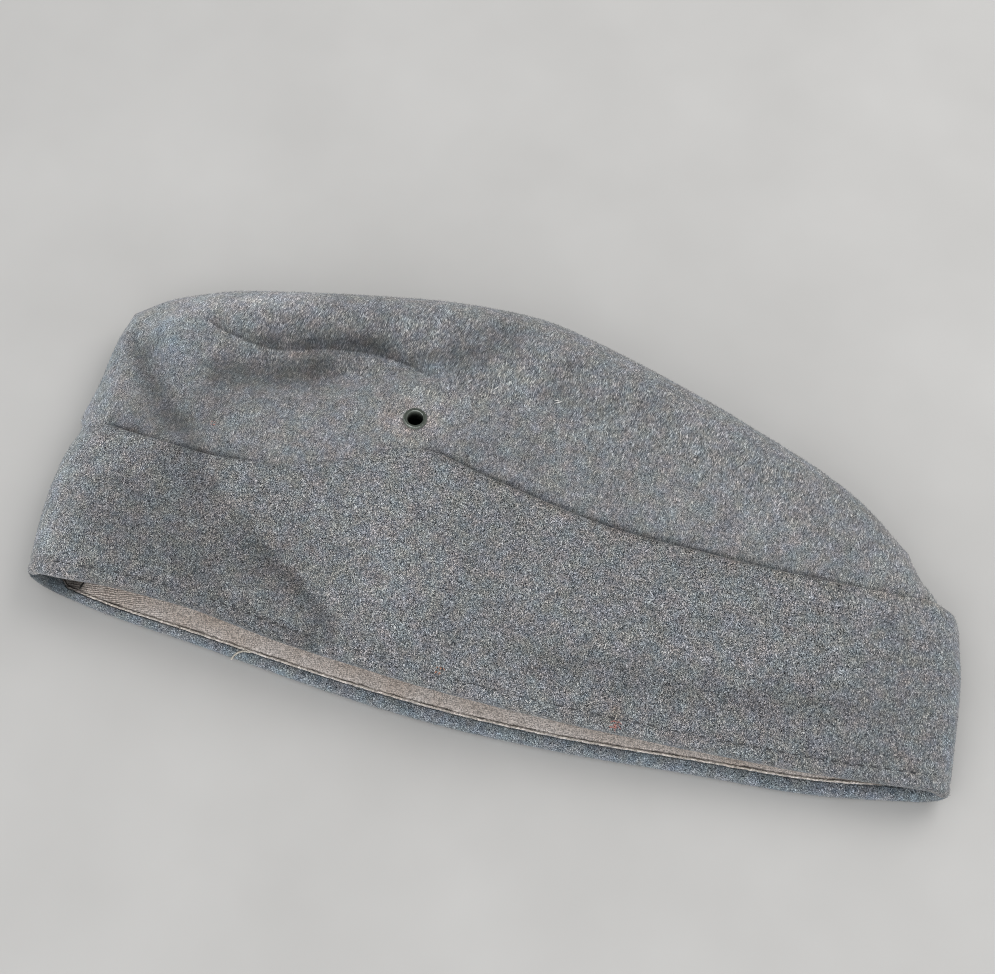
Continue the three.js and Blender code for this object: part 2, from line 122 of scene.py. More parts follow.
# Painted light and shade on the upper side, in the same columns: how much tone is gained or lost. It stands in
# for the shading of the folds, the crease, the dents and the rims, and lightens or darkens broader patches as
# well
SHADES = (
    (-0.46, 4.5, 6.0, 0.2, HOLLOW),
    (-0.36, 6.0, 1.6, 0.2, tuple((x, y + 1.5) for x, y in CREASE[3:13])),
    (-0.22, 2.6, 1.2, 0.3, ((-68, 91), (-61, 92.4), (-55, 92.3), (-48, 91.2))),
    (-0.20, 2.6, 1.2, 0.3, ((-104, 88.6), (-97, 87), (-90, 86.4), (-84, 87))),
    (0.14, 0.8, 1.2, 0.3, CREASE_LIP),
    (-0.40, 1.8, 1.8, 0.3, ((-48, 91.6), (-43.3, 92.5), (-39.7, 92.5), (-34, 91.8))),
    (0.10, 2.0, 2.0, 0.3, ((-42, 89.8), (-38, 88.3), (-34, 87))),
    (-0.34, 7.0, 7.0, 0.3, BRANCH),
    (-0.25, 1.5, 40.0, 0.1, DIAGONAL),
    (-0.21, 2.4, 2.4, 0.2, ((-76, 20), (-70.9, 16.9), (-62.3, 12.4), (-54, 8.2), (-46.3, 4), (-41.5, 1.5))),
    (0.14, 3.0, 3.0, 0.3, ((-57, 15.5), (-49, 10.5), (-41, 7))),
    (0.14, 3.0, 3.0, 0.3, ((-63, 4), (-56, 0.5), (-50, -2.5))),
    (0.09, 6.0, 6.0, 0.3, ((-78, 8), (-66, 4), (-55, -1))),
    (-0.20, 6.0, 7.0, 0.3, ((-136, 53), (-125, 51.5), (-116, 52), (-107, 48))),
    (-0.24, 6.0, 6.0, 0.3, ((-86, 85.5), (-76, 86.5), (-66, 87), (-55, 86.5))),
    (-0.12, 5.0, 5.0, 0.3, ((-112, 67), (-98, 68), (-84, 71.5), (-76, 75))),
    (-0.16, 3.5, 3.5, 0.3, ((-112, 79), (-110, 75), (-108, 71))),
    (-0.12, 4.0, 4.0, 0.3, ((-137, 73), (-130, 72), (-123, 74))),
    (-0.12, 4.0, 4.0, 0.3, ((-138, 78), (-131, 77.5), (-124, 77))),
    (-0.12, 4.0, 4.0, 0.3, ((-50, 76), (-46.9, 73.9), (-43.6, 71.2))),
    (0.30, 6.0, 5.0, 0.2, ((-140, 4), (-134.4, 2.6), (-128.8, 1.1), (-121, 0))),
    (0.13, 5.0, 5.0, 0.3, ((-10, 7), (4.6, 5.7), (18, 4.5))),
    (0.10, 5.0, 5.0, 0.3, ((75, 47), (85, 45.2), (93, 43))),
    (-0.10, 6.0, 6.0, 0.3, ((88, 61), (97, 58.3), (106, 55))),
    (-0.06, 7.0, 7.0, 0.3, ((55, -3), (88.8, -0.3), (125, 4))),
    (-0.10, 6.0, 6.0, 0.3, ((-2.3, 80.5), (10.7, 84.5), (23.5, 89.5))),
    (0.13, 12.0, 12.0, 0.3, ((-52, 60), (-40, 67), (-27, 66))),
    (-0.10, 6.0, 6.0, 0.3, ((100, 5), (113, 3), (125, 1.5))),
    (-0.12, 8.0, 8.0, 0.25, ((-128, 24), (-108, 14), (-92, 10), (-80, 8))),
    (-0.40, 4.0, 4.0, 0.2, VALLEY),
    (-0.13, 9.0, 9.0, 0.3, ((-108, 73), (-100, 62), (-99, 50))),
    (0.16, 6.0, 5.0, 0.25, PUFF),
    (0.46, 7.0, 6.0, 0.2, ((-136, 82), (-124, 92), (-112, 97), (-98, 101.5), (-84, 105), (-74, 107))),
    (-0.20, 4.0, 4.0, 0.3, ((5, 106), (1.3, 91.3), (0, 80))),
    (-0.12, 6.0, 5.0, 0.4, ((-10, 62), (0, 66), (9, 72))),
    (0.10, 7.0, 7.0, 0.3, ((-46, 79), (-36, 74), (-25, 65))),
    (0.08, 10.0, 10.0, 0.3, ((-52, 48), (-34, 32), (-17, 19))),
    (-0.20, 6.0, 6.0, 0.15, ((-22, 3), (22.5, 6), (45.9, 7.8), (69.2, 9.3), (103.4, 15.5), (136, 20))),
    (0.10, 8.0, 8.0, 0.2, ((96, 48), (114, 52), (127, 41))),
    (0.42, 6.0, 9.0, 0.1, ((-138.5, 0), (-139.5, 24), (-139.8, 48), (-139, 76), (-135, 93))),
    (0.12, 5.0, 5.0, 0.1, ((138, 0), (137, 30), (129, 56), (113, 72))),
)
# Where the wool is tinted, in the same columns: above nothing brown, below it blue. Blue goes with the painted
# highlights on the puff, the rims and by the crease, brown with the painted crease lip and hollow, and
# elsewhere with wear
TINTS = (
    (-0.5, 8.0, 8.0, 0.3, PUFF),
    (0.6, 1.2, 1.2, 0.3, CREASE_LIP),
    (0.2, 4.0, 4.0, 0.3, HOLLOW[3:]),
    (-0.4, 3.0, 3.0, 0.3, ((-42, 89.8), (-37, 87.5), (-31, 84.5))),
    (0.12, 6.0, 6.0, 0.3, ((-90, 36), (-68, 18), (-46, 2))),
    (0.5, 2.0, 2.0, 0.3, ((38, -1), (41, -3), (44, -7))),
    (-0.4, 6.0, 6.0, 0.1, ((138, 0), (137, 30), (129, 56))),
    (-0.4, 6.0, 6.0, 0.1, ((-142, 0), (-142, 45), (-140, 90))),
)
# Slight waves all over the upper side: height, shortest and longest wave, and how many are laid together
WAVES = {"height": 0.22, "short": 9.0, "long": 34.0, "count": 28, "seed": 5}


class Side:
    """One side of the cap: which way it faces, and how wide it rolls over at the seam."""

    def __init__(self, name, facing, front, ridge, rear):
        self.name, self.facing = name, facing
        self.front, self.ridge, self.rear = front, ridge, rear


LEFT = Side("left", 1, front=12, ridge=16, rear=7)
RIGHT = Side("right", -1, front=10, ridge=12, rear=7)
NEAREST = 8  # power by which the nearest stretch of the seam outweighs the others
# Past the curtain's edge the right side comes down to the floor, on ribs long enough to reach it
SLOPE = {"start": 16, "length": 14, "short_rib": 30, "long_rib": 46}


def smoothstep(t):
    x = np.clip(t, 0, 1)
    return x * x * (3 - 2 * x)


def bump(distance, width):
    return np.exp(-((distance / width) ** 2))


def unit(vectors):
    return vectors / np.linalg.norm(vectors, axis=-1, keepdims=True)


def flowing(before, after, span_before, span_after):
    return (before * span_after + after * span_before) / (span_before + span_after)


def unbulged(before, after, *_):
    total = np.where(before * after > 0, before + after, 1)
    return np.where(before * after > 0, 2 * before * after / total, 0)


def spline(knots, values, t, blend):
    """Cubic curves through the values on the last axis. An inner knot's slope is blended from both sides."""
    knots, values = np.asarray(knots, float), np.asarray(values, float)
    spans = np.diff(knots)
    rates = np.diff(values, axis=-1) / spans
    inner = blend(rates[..., :-1], rates[..., 1:], spans[:-1], spans[1:])
    slopes = np.concatenate([rates[..., :1], inner, rates[..., -1:]], axis=-1)
    i = np.clip(np.searchsorted(knots, t) - 1, 0, len(spans) - 1)
    x = (t - knots[i]) / spans[i]
    start = values[..., i] * (1 + 2 * x) * (1 - x) ** 2 + slopes[..., i] * spans[i] * x * (1 - x) ** 2
    end = values[..., i + 1] * x * x * (3 - 2 * x) + slopes[..., i + 1] * spans[i] * x * x * (x - 1)
    return start + end


def along(columns, name, stations):
    return spline(columns["station"], columns[name], stations, flowing)


def plan(side, stations, shares):
    """Places in plan where ribs are crossed, from hem to ridge. The upper hem is set back."""
    setback = along(RIBS, "setback", stations) if side.facing > 0 else 0
    hem = along(RIBS, "hem", stations) + setback
    guides = np.stack([hem, *(along(RIBS, name, stations) for name in GUIDES[1:])], axis=-1)
    leans = np.stack([0 * stations, *(along(RIBS, name, stations) for name in LEANS)], axis=-1)
    x = stations[:, None] + spline(LEAN_KNOTS, leans, shares, unbulged)
    y = spline(GUIDE_KNOTS, guides, shares, unbulged)
    return np.stack([x, y], axis=-1)


def nearest_on(line, place):
    """How far places are from a line of points, which share of it they are nearest, and if on its left."""
    distance = np.full(place.shape[:-1], np.inf)
    at = np.zeros(distance.shape)
    left = np.zeros(distance.shape, bool)
    for i, (start, end) in enumerate(zip(line[:-1], line[1:])):
        run, way = end - start, place - start
        share = np.clip(way @ run / (run @ run), 0, 1)
        gap = np.linalg.norm(way - share[..., None] * run, axis=-1)
        closer = gap < distance
        distance = np.where(closer, gap, distance)
        at = np.where(closer, (i + share) / (len(line) - 1), at)
        left = np.where(closer, run[0] * way[..., 1] - run[1] * way[..., 0] > 0, left)
    return distance, at, left


def seam_lines(end_steps=300, ridge_steps=900):
    ends = [plan(LEFT, np.array([s]), np.linspace(0, 1, end_steps))[0] for s in (FRONT, REAR)]
    ridge = plan(LEFT, np.linspace(FRONT, REAR, ridge_steps), np.array([1.0]))[:, 0]
    return ends[0], ridge, ends[1]


SEAM = seam_lines()


def curve(path, steps):
    """Points on a smooth line through a path."""
    knots = np.arange(len(path))
    return spline(knots, np.array(path).T, np.linspace(0, knots[-1], steps), flowing).T


def spread(rows, place):
    """What rows of paths add up to at places in plan."""
    total = np.zeros(place.shape[:-1])
    for amount, left_width, right_width, fade, path in rows:
        distance, at, left = nearest_on(curve(path, FOLD_STEPS), place)
        ends = smoothstep(at / fade) * smoothstep((1 - at) / fade)
        total += amount * ends * bump(distance, np.where(left, left_width, right_width))
    return total


def folds(place):
    """How far the folds and the slight waves lift the cloth at places in plan."""
    total = spread(FOLDS, place)
    rng = np.random.default_rng(WAVES["seed"])
    for _ in range(WAVES["count"]):
        length = rng.uniform(WAVES["short"], WAVES["long"])
        turn, phase = rng.uniform(0, 2 * math.pi, 2)
        way = place @ np.array([math.cos(turn), math.sin(turn)])
        swing = WAVES["height"] * length / WAVES["long"] * math.sqrt(2 / WAVES["count"])
        total += swing * np.sin(2 * math.pi * way / length + phase)
    return total


class Net:
    """The crown's outer face on one side, where stations cross shares of the ribs, with its directions."""

    def __init__(self, side, stations, shares):
        self.side, self.stations, self.shares = side, stations, shares
        self.place = plan(side, stations, shares)
        on_seam = ((stations == FRONT) | (stations == REAR))[:, None] | (shares == 1)[None, :]
        self.roll = np.where(on_seam, 0, self.roll_over())
        self.face = self.form()
        self.up = np.gradient(self.face, axis=1)
        self.out = np.cross(np.gradient(self.face, axis=0), self.up) * side.facing
        for way in (self.up, self.out):
            way[on_seam, 2] = 0
            way /= np.linalg.norm(way, axis=-1, keepdims=True)
        if shares[-1] == 1:
            for end, near in ((0, 1), (-1, -2)):
                self.out[end, -1] = unit(self.out[near, -1] + self.out[end, -2])
        self.relief = folds(self.place) * self.roll**2 if side.facing > 0 else 0 * self.roll

    def roll_over(self):
        """0 on the seam round front, ridge and rear, rising as a quarter circle inside the roll's width."""
        ridge = self.side.ridge * along(HEIGHTS, "roll_share", self.stations)[:, None]
        widths = (self.side.front, ridge, self.side.rear)
        ways = [nearest_on(line, self.place)[0] for line in SEAM]
        shares = [np.maximum(way / width, 1e-6) for way, width in zip(ways, widths)]
        share = np.minimum(sum(d**-NEAREST for d in shares) ** (-1 / NEAREST), 1)
        return np.sqrt(1 - (1 - share) ** 2)

    def form(self):
        seam = along(HEIGHTS, "seam", self.stations)[:, None]
        if self.side.facing > 0:
            guides = np.stack([along(HEIGHTS, name, self.stations) for name in GUIDES], axis=-1)
            height = seam + (spline(GUIDE_KNOTS, guides, self.shares, unbulged) - seam) * self.roll
        else:
            edge, ridge = np.moveaxis(plan(self.side, self.stations, np.array([EDGE, 1.0])), 1, 0)
            past = np.linalg.norm(self.place - edge[:, None], axis=-1) * (self.shares > EDGE)
            rib = np.linalg.norm(ridge - edge, axis=-1)[:, None]
            reach = smoothstep((rib - SLOPE["short_rib"]) / (SLOPE["long_rib"] - SLOPE["short_rib"]))
            down = reach * smoothstep((past - SLOPE["start"]) / SLOPE["length"])
            floor = (WOOL + GAP) * (1 - down)
            height = (seam - GAP) + (floor - (seam - GAP)) * self.roll
        return np.concatenate([self.place, height[..., None]], axis=-1)

    def layer(self, rows, offset, drop=0.0):
        """Points of a layer of cloth: rows of the net, pushed out by an offset and down the rib by a drop."""
        rise = self.relief[:, rows] + offset
        drop = np.broadcast_to(drop, rise.shape)
        return self.face[:, rows] + self.out[:, rows] * rise[..., None] - self.up[:, rows] * drop[..., None]


def roll_insets(width, steps):
    """Distances in from the seam that lie evenly round the roll, closer together on the cloth's very edge."""
    turns = np.concatenate([[0, 0.5], np.arange(1, steps)]) / steps
    return width * (1 - np.cos(turns * math.pi / 2))


def stations_of(side, step, roll_steps):
    start, end = FRONT + side.front, REAR - side.rear
    middle = np.linspace(start, end, round((end - start) / step) + 1)
    front = FRONT + roll_insets(side.front, roll_steps)
    rear = REAR - roll_insets(side.rear, roll_steps)[::-1]
    return np.concatenate([front, middle, rear])


def steps_between(start, end, count):
    """Evenly spaced values from start on, without the end."""
    return np.linspace(start, end, count, endpoint=False)


RIM_SHARES = np.array([0, 0.002, 0.005, 0.01, 0.016])  # rows close together on a rounded edge
RIDGE_POWER = 1.5  # how far rows crowd towards the ridge
# Rows of the crown by the curtain's edge
BY_EDGE = np.array([-0.02, -0.01, -0.004, 0, 0.003, 0.006, 0.01, 0.015])


def crown_shares(below, middle, above):
    """Rows of the crown: few under the curtain, and crowded towards the ridge."""
    ridge = FOLD + EDGE * (1 - (1 - steps_between(0, 1, above)) ** RIDGE_POWER)
    hidden = steps_between(RIM_SHARES[-1] * 2, EDGE + BY_EDGE[0], below)
    shown = steps_between(EDGE + BY_EDGE[-1] * 1.4, FOLD, middle)
    return np.concatenate([RIM_SHARES, hidden, EDGE + BY_EDGE, shown, ridge, [1 - 2e-4, 1]])


def run_lengths(points, axis):
    """Length of the cloth along one axis of a net, from its first line of points."""
    lengths = np.cumsum(np.linalg.norm(np.diff(points, axis=axis), axis=-1), axis=axis)
    return np.concatenate([np.zeros_like(lengths.take([0], axis)), lengths], axis)


def to_rim(points):
    """Distance of each point along the cloth from the nearest of its four rims."""
    ahead, upward = run_lengths(points, 0), run_lengths(points, 1)
    return np.minimum.reduce([ahead, ahead[-1:] - ahead, upward, upward[:, -1:] - upward])


def frame_shift():
    """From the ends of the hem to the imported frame, in millimetres: the rear end, the ridge and the floor."""
    corner = np.array(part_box("crown_left")[1]) / MM
    return np.array([corner[0] - REAR, corner[1] - SEAM[1][:, 1].max(), 0])


SHIFT = frame_shift()


def placed(points):
    return (points + SHIFT) * MM


class Seat:
    """Where an air eyelet sits on the crown, and the way it faces."""

    STATION, SHARE = -38.5, EDGE + 0.32 * (FOLD - EDGE)
    REACH, SHARE_REACH = 2.8, 0.035  # how far round it the cloth's slope is measured
    LEAN = Vector((0.0, 0.16, 0.0))  # the rim leans back from the cloth's own slope

    def __init__(self, side):
        stations = self.STATION + np.array([-self.REACH, 0, self.REACH])
        shares = self.SHARE + np.array([-self.SHARE_REACH, 0, self.SHARE_REACH])
        net = Net(side, stations, shares)
        points = net.layer(np.arange(3), 0.0)
        axis = np.cross(points[2, 1] - points[0, 1], points[1, 2] - points[1, 0]) * side.facing
        self.centre = Vector(placed(points[1, 1]))
        self.axis = (Vector(axis).normalized() + self.LEAN).normalized()

    def in_plan(self):
        return (np.array(self.centre) / MM - SHIFT)[:2]

    def matrix(self):
        return Matrix.Translation(self.centre) @ self.axis.to_track_quat("Z", "Y").to_matrix().to_4x4()


SEATS = {side.name: Seat(side) for side in (LEFT, RIGHT)}
HOLE = 3.0 * MM  # radius of the hole in the cloth, hidden under the eyelet's flange


def punch(bm, seat):
    """Cuts a round hole through both faces of a sheet and joins them round its edge."""

    def spoke(vert):
        way = vert.co - seat.centre
        return way - seat.axis * way.dot(seat.axis)

    inside = [f for f in bm.faces if all(spoke(v).length < HOLE * 1.05 for v in f.verts)]
    bmesh.ops.delete(bm, geom=inside, context="FACES")
    rims = [e for e in bm.edges if e.is_boundary]
    for vert in {v for e in rims for v in e.verts}:
        way = spoke(vert)
        vert.co += way.normalized() * HOLE - way
    bmesh.ops.bridge_loops(bm, edges=rims)


def add_piece(name, mesh, material):
    mesh.materials.append(material)
    piece = bpy.data.objects.new(name, mesh)
    bpy.context.scene.collection.objects.link(piece)
    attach(piece, "root")
    return piece


def shaped_piece(name, bm, material):
    """A smooth piece with the shape of a bmesh, which is used up."""
    mesh = bpy.data.meshes.new(name)
    for face in bm.faces:
        face.smooth = True
    bm.to_mesh(mesh)
    bm.free()
    return add_piece(name, mesh, material)


def cloth_piece(node, material, outer, inner, thickness, marks, hole=None):
    """A closed sheet of cloth between two nets of points, with rounded rims and marks for its finish."""
    share = np.clip(to_rim(outer) / (thickness / 2), 0, 1)
    rounding = np.sqrt(1 - (1 - share) ** 2)[..., None]
    middle, half = (outer + inner) / 2, (outer - inner) / 2
    points = placed(np.stack([middle + half * rounding, middle - half * rounding])).reshape(-1, 3)
    bm = bmesh.new()
    for _ in ("outer", "inner"):
        bmesh.ops.create_grid(bm, x_segments=share.shape[1] - 1, y_segments=share.shape[0] - 1, size=1)
    for vert, point in zip(bm.verts, points):
        vert.co = point
    for mark, values in marks.items():
        kind = bm.verts.layers.float_vector if values.ndim == 3 else bm.verts.layers.float
        layer = kind.new(mark)
        values = values.reshape(-1, *values.shape[2:])
        for vert, value in zip(bm.verts, np.concatenate([values, values]).tolist()):
            vert[layer] = value
    bmesh.ops.remove_doubles(bm, verts=bm.verts, dist=1e-7)
    if hole:
        punch(bm, hole)
    bmesh.ops.recalc_face_normals(bm, faces=bm.faces)
    piece = shaped_piece(f"{node}_cloth", bm, material)
    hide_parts(node)
    return piece


# Materials. Each helper adds a node, or feeds the inputs of one.


def feed(tree, node, inputs):
    """Links a node's inputs to the sockets of other nodes, or sets their values."""
    for key, value in inputs.items():
        if isinstance(value, bpy.types.NodeSocket):
            tree.links.new(value, node.inputs[key])
        else:
            node.inputs[key].default_value = value
    return node


def put(tree, kind, inputs=(), **settings):
    node = tree.nodes.new(kind)
    for name, value in settings.items():
        setattr(node, name, value)
    return feed(tree, node, dict(inputs))


def mixed(tree, share, first, second, blend="MIX", **settings):
    inputs = {0: share, 6: first, 7: second}
    return put(tree, "ShaderNodeMix", inputs, data_type="RGBA", blend_type=blend, **settings).outputs[2]


def tinted(tree, colour, tint):
    return mixed(tree, 1.0, colour, tint, "MULTIPLY")


def maths(tree, operation, *values):
    return put(tree, "ShaderNodeMath", dict(enumerate(values)), operation=operation).outputs[0]


def ramp(tree, value, stops, interpolation="LINEAR"):
    node = put(tree, "ShaderNodeValToRGB", {"Fac": value})
    node.color_ramp.interpolation = interpolation
    elements = node.color_ramp.elements
    while len(elements) < len(stops):
        elements.new(1.0)
    for element, (position, colour) in zip(elements, stops):
        element.position = position
        element.color = (*colour, 1.0)
    return node.outputs["Color"]


def grey(level):
    return (level, level, level)


def noise(tree, coordinates, size, detail=2.0, roughness=0.5):
    """Noise whose lumps are about a size, in millimetres."""
    inputs = {"Vector": coordinates, "Scale": 1 / (size * MM), "Detail": detail, "Roughness": roughness}
    return put(tree, "ShaderNodeTexNoise", inputs).outputs["Fac"]


def bumped(tree, height, strength, distance):
    """Normals of a surface with a relief of a height, over a distance in millimetres."""
    inputs = {"Height": height, "Strength": strength, "Distance": distance * MM}
    return put(tree, "ShaderNodeBump", inputs).outputs["Normal"]


def mark_of(tree, name):
    return put(tree, "ShaderNodeAttribute", attribute_name=name).outputs["Fac"]


def marks_of(tree, name):
    """The three values X, Y and Z that one mark holds."""
    vector = put(tree, "ShaderNodeAttribute", attribute_name=name).outputs["Vector"]
    return put(tree, "ShaderNodeSeparateXYZ", {"Vector": vector}).outputs


def node_group(name, inputs, outputs):
    tree = bpy.data.node_groups.new(name, "ShaderNodeTree")
    for direction, sockets in (("INPUT", inputs), ("OUTPUT", outputs)):
        for socket, kind in sockets.items():
            tree.interface.new_socket(socket, in_out=direction, socket_type=f"NodeSocket{kind}")
    return tree, tree.nodes.new("NodeGroupInput").outputs, tree.nodes.new("NodeGroupOutput").inputs


def use(tree, group, inputs):
    return put(tree, "ShaderNodeGroup", inputs, node_tree=group).outputs


def new_material(name):
    """A material with its nodes, its shader, and places on the piece to draw patterns by."""
    material = bpy.data.materials.new(name)
    material.use_nodes = True
    tree = material.node_tree
    tree.nodes.clear()
    shader = put(tree, "ShaderNodeBsdfPrincipled")
    put(tree, "ShaderNodeOutputMaterial", {"Surface": shader.outputs["BSDF"]})
    return material, tree, shader, put(tree, "ShaderNodeTexCoord").outputs["Object"]


# The fibres of the wool, from dark to light: where each begins in the mix, and its colour
FIBRES = (
    (0.00, (0.040, 0.043, 0.048)),
    (0.20, (0.130, 0.140, 0.153)),
    (0.48, (0.215, 0.218, 0.226)),
    (0.72, (0.350, 0.351, 0.356)),
    (0.90, (0.620, 0.618, 0.625)),
)
MEAN_FIBRE = (0.220, 0.223, 0.230, 1.0)
# Patches of the wool: their size, the detail and roughness of the noise they come from, how far they are
# shifted away from the others, and their tints from low to high
HERE, APART = (0, 0, 0), (0.5, 0.3, 0.1)
PATCHES = (
    (4.0, 2.0, 0.6, HERE, ((0.34, (0.935, 0.988, 1.044)), (0.5, grey(1.0)), (0.66, (1.048, 1.0, 0.948)))),
    (6.0, 2.0, 0.5, APART, ((0.36, (0.975, 1.015, 0.99)), (0.64, (1.02, 0.985, 1.0)))),
    (22.0, 3.0, 0.5, HERE, ((0.3, grey(0.93)), (0.7, grey(1.06)))),
    (5.0, 3.0, 0.6, APART, ((0.3, grey(0.88)), (0.7, grey(1.12)))),
)
WORN_BROWN = (1.10, 0.93, 0.80, 1.0)
WHITE = (1.0, 1.0, 1.0, 1.0)


def wool_colour_group():
    """Colour of one fibre of the mix, tinted by patches, by wear and by the blue of painted highlights, in the
    tone of its place, which carries painted light and shade.
    """
    sockets = {"Pick": "Float", "Coordinates": "Vector"}
    sockets |= {"Contrast": "Float", "Worn": "Float", "Tone": "Float"}
    tree, given, result = node_group("wool_colour", sockets, {"Color": "Color"})
    fibre = ramp(tree, given["Pick"], FIBRES, "CONSTANT")
    colour = mixed(tree, given["Contrast"], MEAN_FIBRE, fibre, clamp_factor=False, clamp_result=True)
    for size, detail, roughness, shift, tints in PATCHES:
        place = put(tree, "ShaderNodeVectorMath", {0: given["Coordinates"], 1: shift}).outputs["Vector"]
        colour = tinted(tree, colour, ramp(tree, noise(tree, place, size, detail, roughness), tints))
    # Wear tints brown; below nothing the tint turns blue, for the painted highlights
    colour = mixed(tree, given["Worn"], colour, tinted(tree, colour, WORN_BROWN), clamp_factor=False)
    tree.links.new(tinted(tree, colour, given["Tone"]), result["Color"])
    return tree


def heather_group():
    """Short fibres packed side by side: which fibre of the mix lies at each place, and how high it stands."""
    sockets = {"Coordinates": "Vector", "Size": "Float"}
    tree, given, result = node_group("heather", sockets, {"Pick": "Float", "Height": "Float"})
    scale = maths(tree, "DIVIDE", 1 / MM, given["Size"])
    cells = put(tree, "ShaderNodeTexVoronoi", {"Vector": given["Coordinates"], "Scale": scale}).outputs
    picks = put(tree, "ShaderNodeSeparateColor", {"Color": cells["Color"]}).outputs
    tree.links.new(picks["Red"], result["Pick"])
    tree.links.new(maths(tree, "SUBTRACT", picks["Green"], cells["Distance"]), result["Height"])
    return tree


WOOL_COLOUR = wool_colour_group()
HEATHER = heather_group()
# Painted shade across the crease, with a faint painted highlight just below it: how far below or above it, in
# millimetres, and the share of the tone that is kept
CREASE_TONES = (
    (-2.2, 1.0), (-1.2, 1.03), (-0.45, 1.0), (-0.12, 0.56), (0.25, 0.5), (0.7, 0.78), (2.0, 0.9), (4.0, 1.0)
)


def creased(tree, tone):
    """A tone with the painted shade line of the crease drawn in. The mark holds the way from it, and its
    strength.
    """
    mark = marks_of(tree, "crease")
    low, high = CREASE_TONES[0][0], CREASE_TONES[-1][0]
    ends = {"Value": mark["X"], "From Min": low, "From Max": high}
    way = put(tree, "ShaderNodeMapRange", ends).outputs["Result"]
    line = ramp(tree, way, [((at - low) / (high - low), grey(kept)) for at, kept in CREASE_TONES])
    return maths(tree, "MULTIPLY", tone, mixed(tree, mark["Y"], WHITE, line))


GRAIN = 0.15  # width of one fibre
LIVELIEST = 1.16  # tone past which the contrast of the fibres grows no more
SWAY = {"scale": 90.0, "reach": 2.5}  # how finely and how far strokes of the nap sway along the cap
# A stroke shows where its fibres stand lower than the least height, or than more where the nap is brushed
BRUSH = {"least": -0.2, "more": 0.65}


def wool_material(name, stretch, turn, width, lump, contrast, steady, calmed, crease=False):
    """Milled woollen cloth of packed fibres, a share of them combed into strokes along the nap.

    Strokes are stretched along the nap, and turned in degrees. The share steady of the contrast of the fibres
    doesn't follow the tone, and the share calmed of it goes where the nap is brushed.
    """
    material, tree, shader, place = new_material(name)
    waves = {"Vector": place, "Scale": SWAY["scale"], "Detail": 1.0}
    sway = {0: put(tree, "ShaderNodeTexNoise", waves).outputs["Color"], 1: (SWAY["reach"] * MM, 0, 0)}
    sway = put(tree, "ShaderNodeVectorMath", sway, operation="MULTIPLY").outputs[0]
    combed = put(tree, "ShaderNodeVectorMath", {0: place, 1: sway}).outputs[0]
    way = {"Vector": combed, "Scale": stretch, "Rotation": (0, 0, math.radians(turn))}
    combed = put(tree, "ShaderNodeMapping", way, vector_type="TEXTURE").outputs["Vector"]
    heather = use(tree, HEATHER, {"Coordinates": place, "Size": GRAIN})
    strokes = use(tree, HEATHER, {"Coordinates": combed, "Size": width})
    brushed = mark_of(tree, "brushed")
    limit = maths(tree, "MULTIPLY_ADD", brushed, BRUSH["more"], BRUSH["least"])
    stroke = maths(tree, "LESS_THAN", strokes["Height"], limit)
    pick = put(tree, "ShaderNodeMix", {0: stroke, 2: heather["Pick"], 3: strokes["Pick"]}).outputs[0]
    tone = mark_of(tree, "tone")
    if crease:
        tone = creased(tree, tone)
    lively = maths(tree, "MINIMUM", tone, LIVELIEST)
    lively = maths(tree, "MULTIPLY_ADD", lively, (1 - steady) * contrast, steady * contrast)
    lively = maths(tree, "MULTIPLY", lively, maths(tree, "MULTIPLY_ADD", brushed, -calmed, 1.0))
    inputs = {"Pick": pick, "Coordinates": place, "Contrast": lively, "Tone": tone}
    inputs["Worn"] = mark_of(tree, "worn")
    lumps = noise(tree, combed, lump, detail=3.0, roughness=0.7)
    height = maths(tree, "MULTIPLY_ADD", heather["Height"], 0.4, lumps)
    finish = {"Roughness": 0.95, "Specular IOR Level": 0.15, "Sheen Weight": 0.4, "Sheen Roughness": 0.45}
    finish["Base Color"] = use(tree, WOOL_COLOUR, inputs)["Color"]
    finish["Normal"] = bumped(tree, height, strength=0.6, distance=0.25)
    feed(tree, shader, finish)
    return material


def nap_material():
    """Loose fibres that stand out of the wool, each one fibre of the same mix."""
    material, tree, shader, place = new_material("wool_nap")
    inputs = {"Coordinates": place, "Contrast": 0.9}
    inputs |= {key: mark_of(tree, key.lower()) for key in ("Pick", "Worn", "Tone")}
    colour = use(tree, WOOL_COLOUR, inputs)["Color"]
    feed(tree, shader, {"Base Color": colour, "Roughness": 0.9, "Specular IOR Level": 0.2})
    return material


# Lines of the lining's weave: their pitch, how far they sway, and the width of a yarn
TWILL = {"pitch": 0.7, "sway": 1.2, "yarn": 0.3}
# By station: how the lines slant over the hem, and how clearly they show
TWILL_SLANT = ((-137, -110, -85, -25, 60, 137), (-0.3, -0.3, -0.36, -0.5, -0.5, -0.4))
TWILL_CLEAR = ((-116, -102, -85, 137), (1.0, 0.5, 0.22, 0.16))
TWILL_TONES = ((0.0, (0.441, 0.397, 0.365)), (0.5, (0.732, 0.676, 0.649)), (1.0, (0.872, 0.812, 0.780)))
TWILL_MEAN = (0.728, 0.670, 0.633, 1.0)
YARN_TONES = ((0.0, grey(0.5)), (1.0, grey(1.5)))
STAIN_TONES = ((0.35, (0.88, 0.84, 0.80)), (0.6, grey(1.0)))


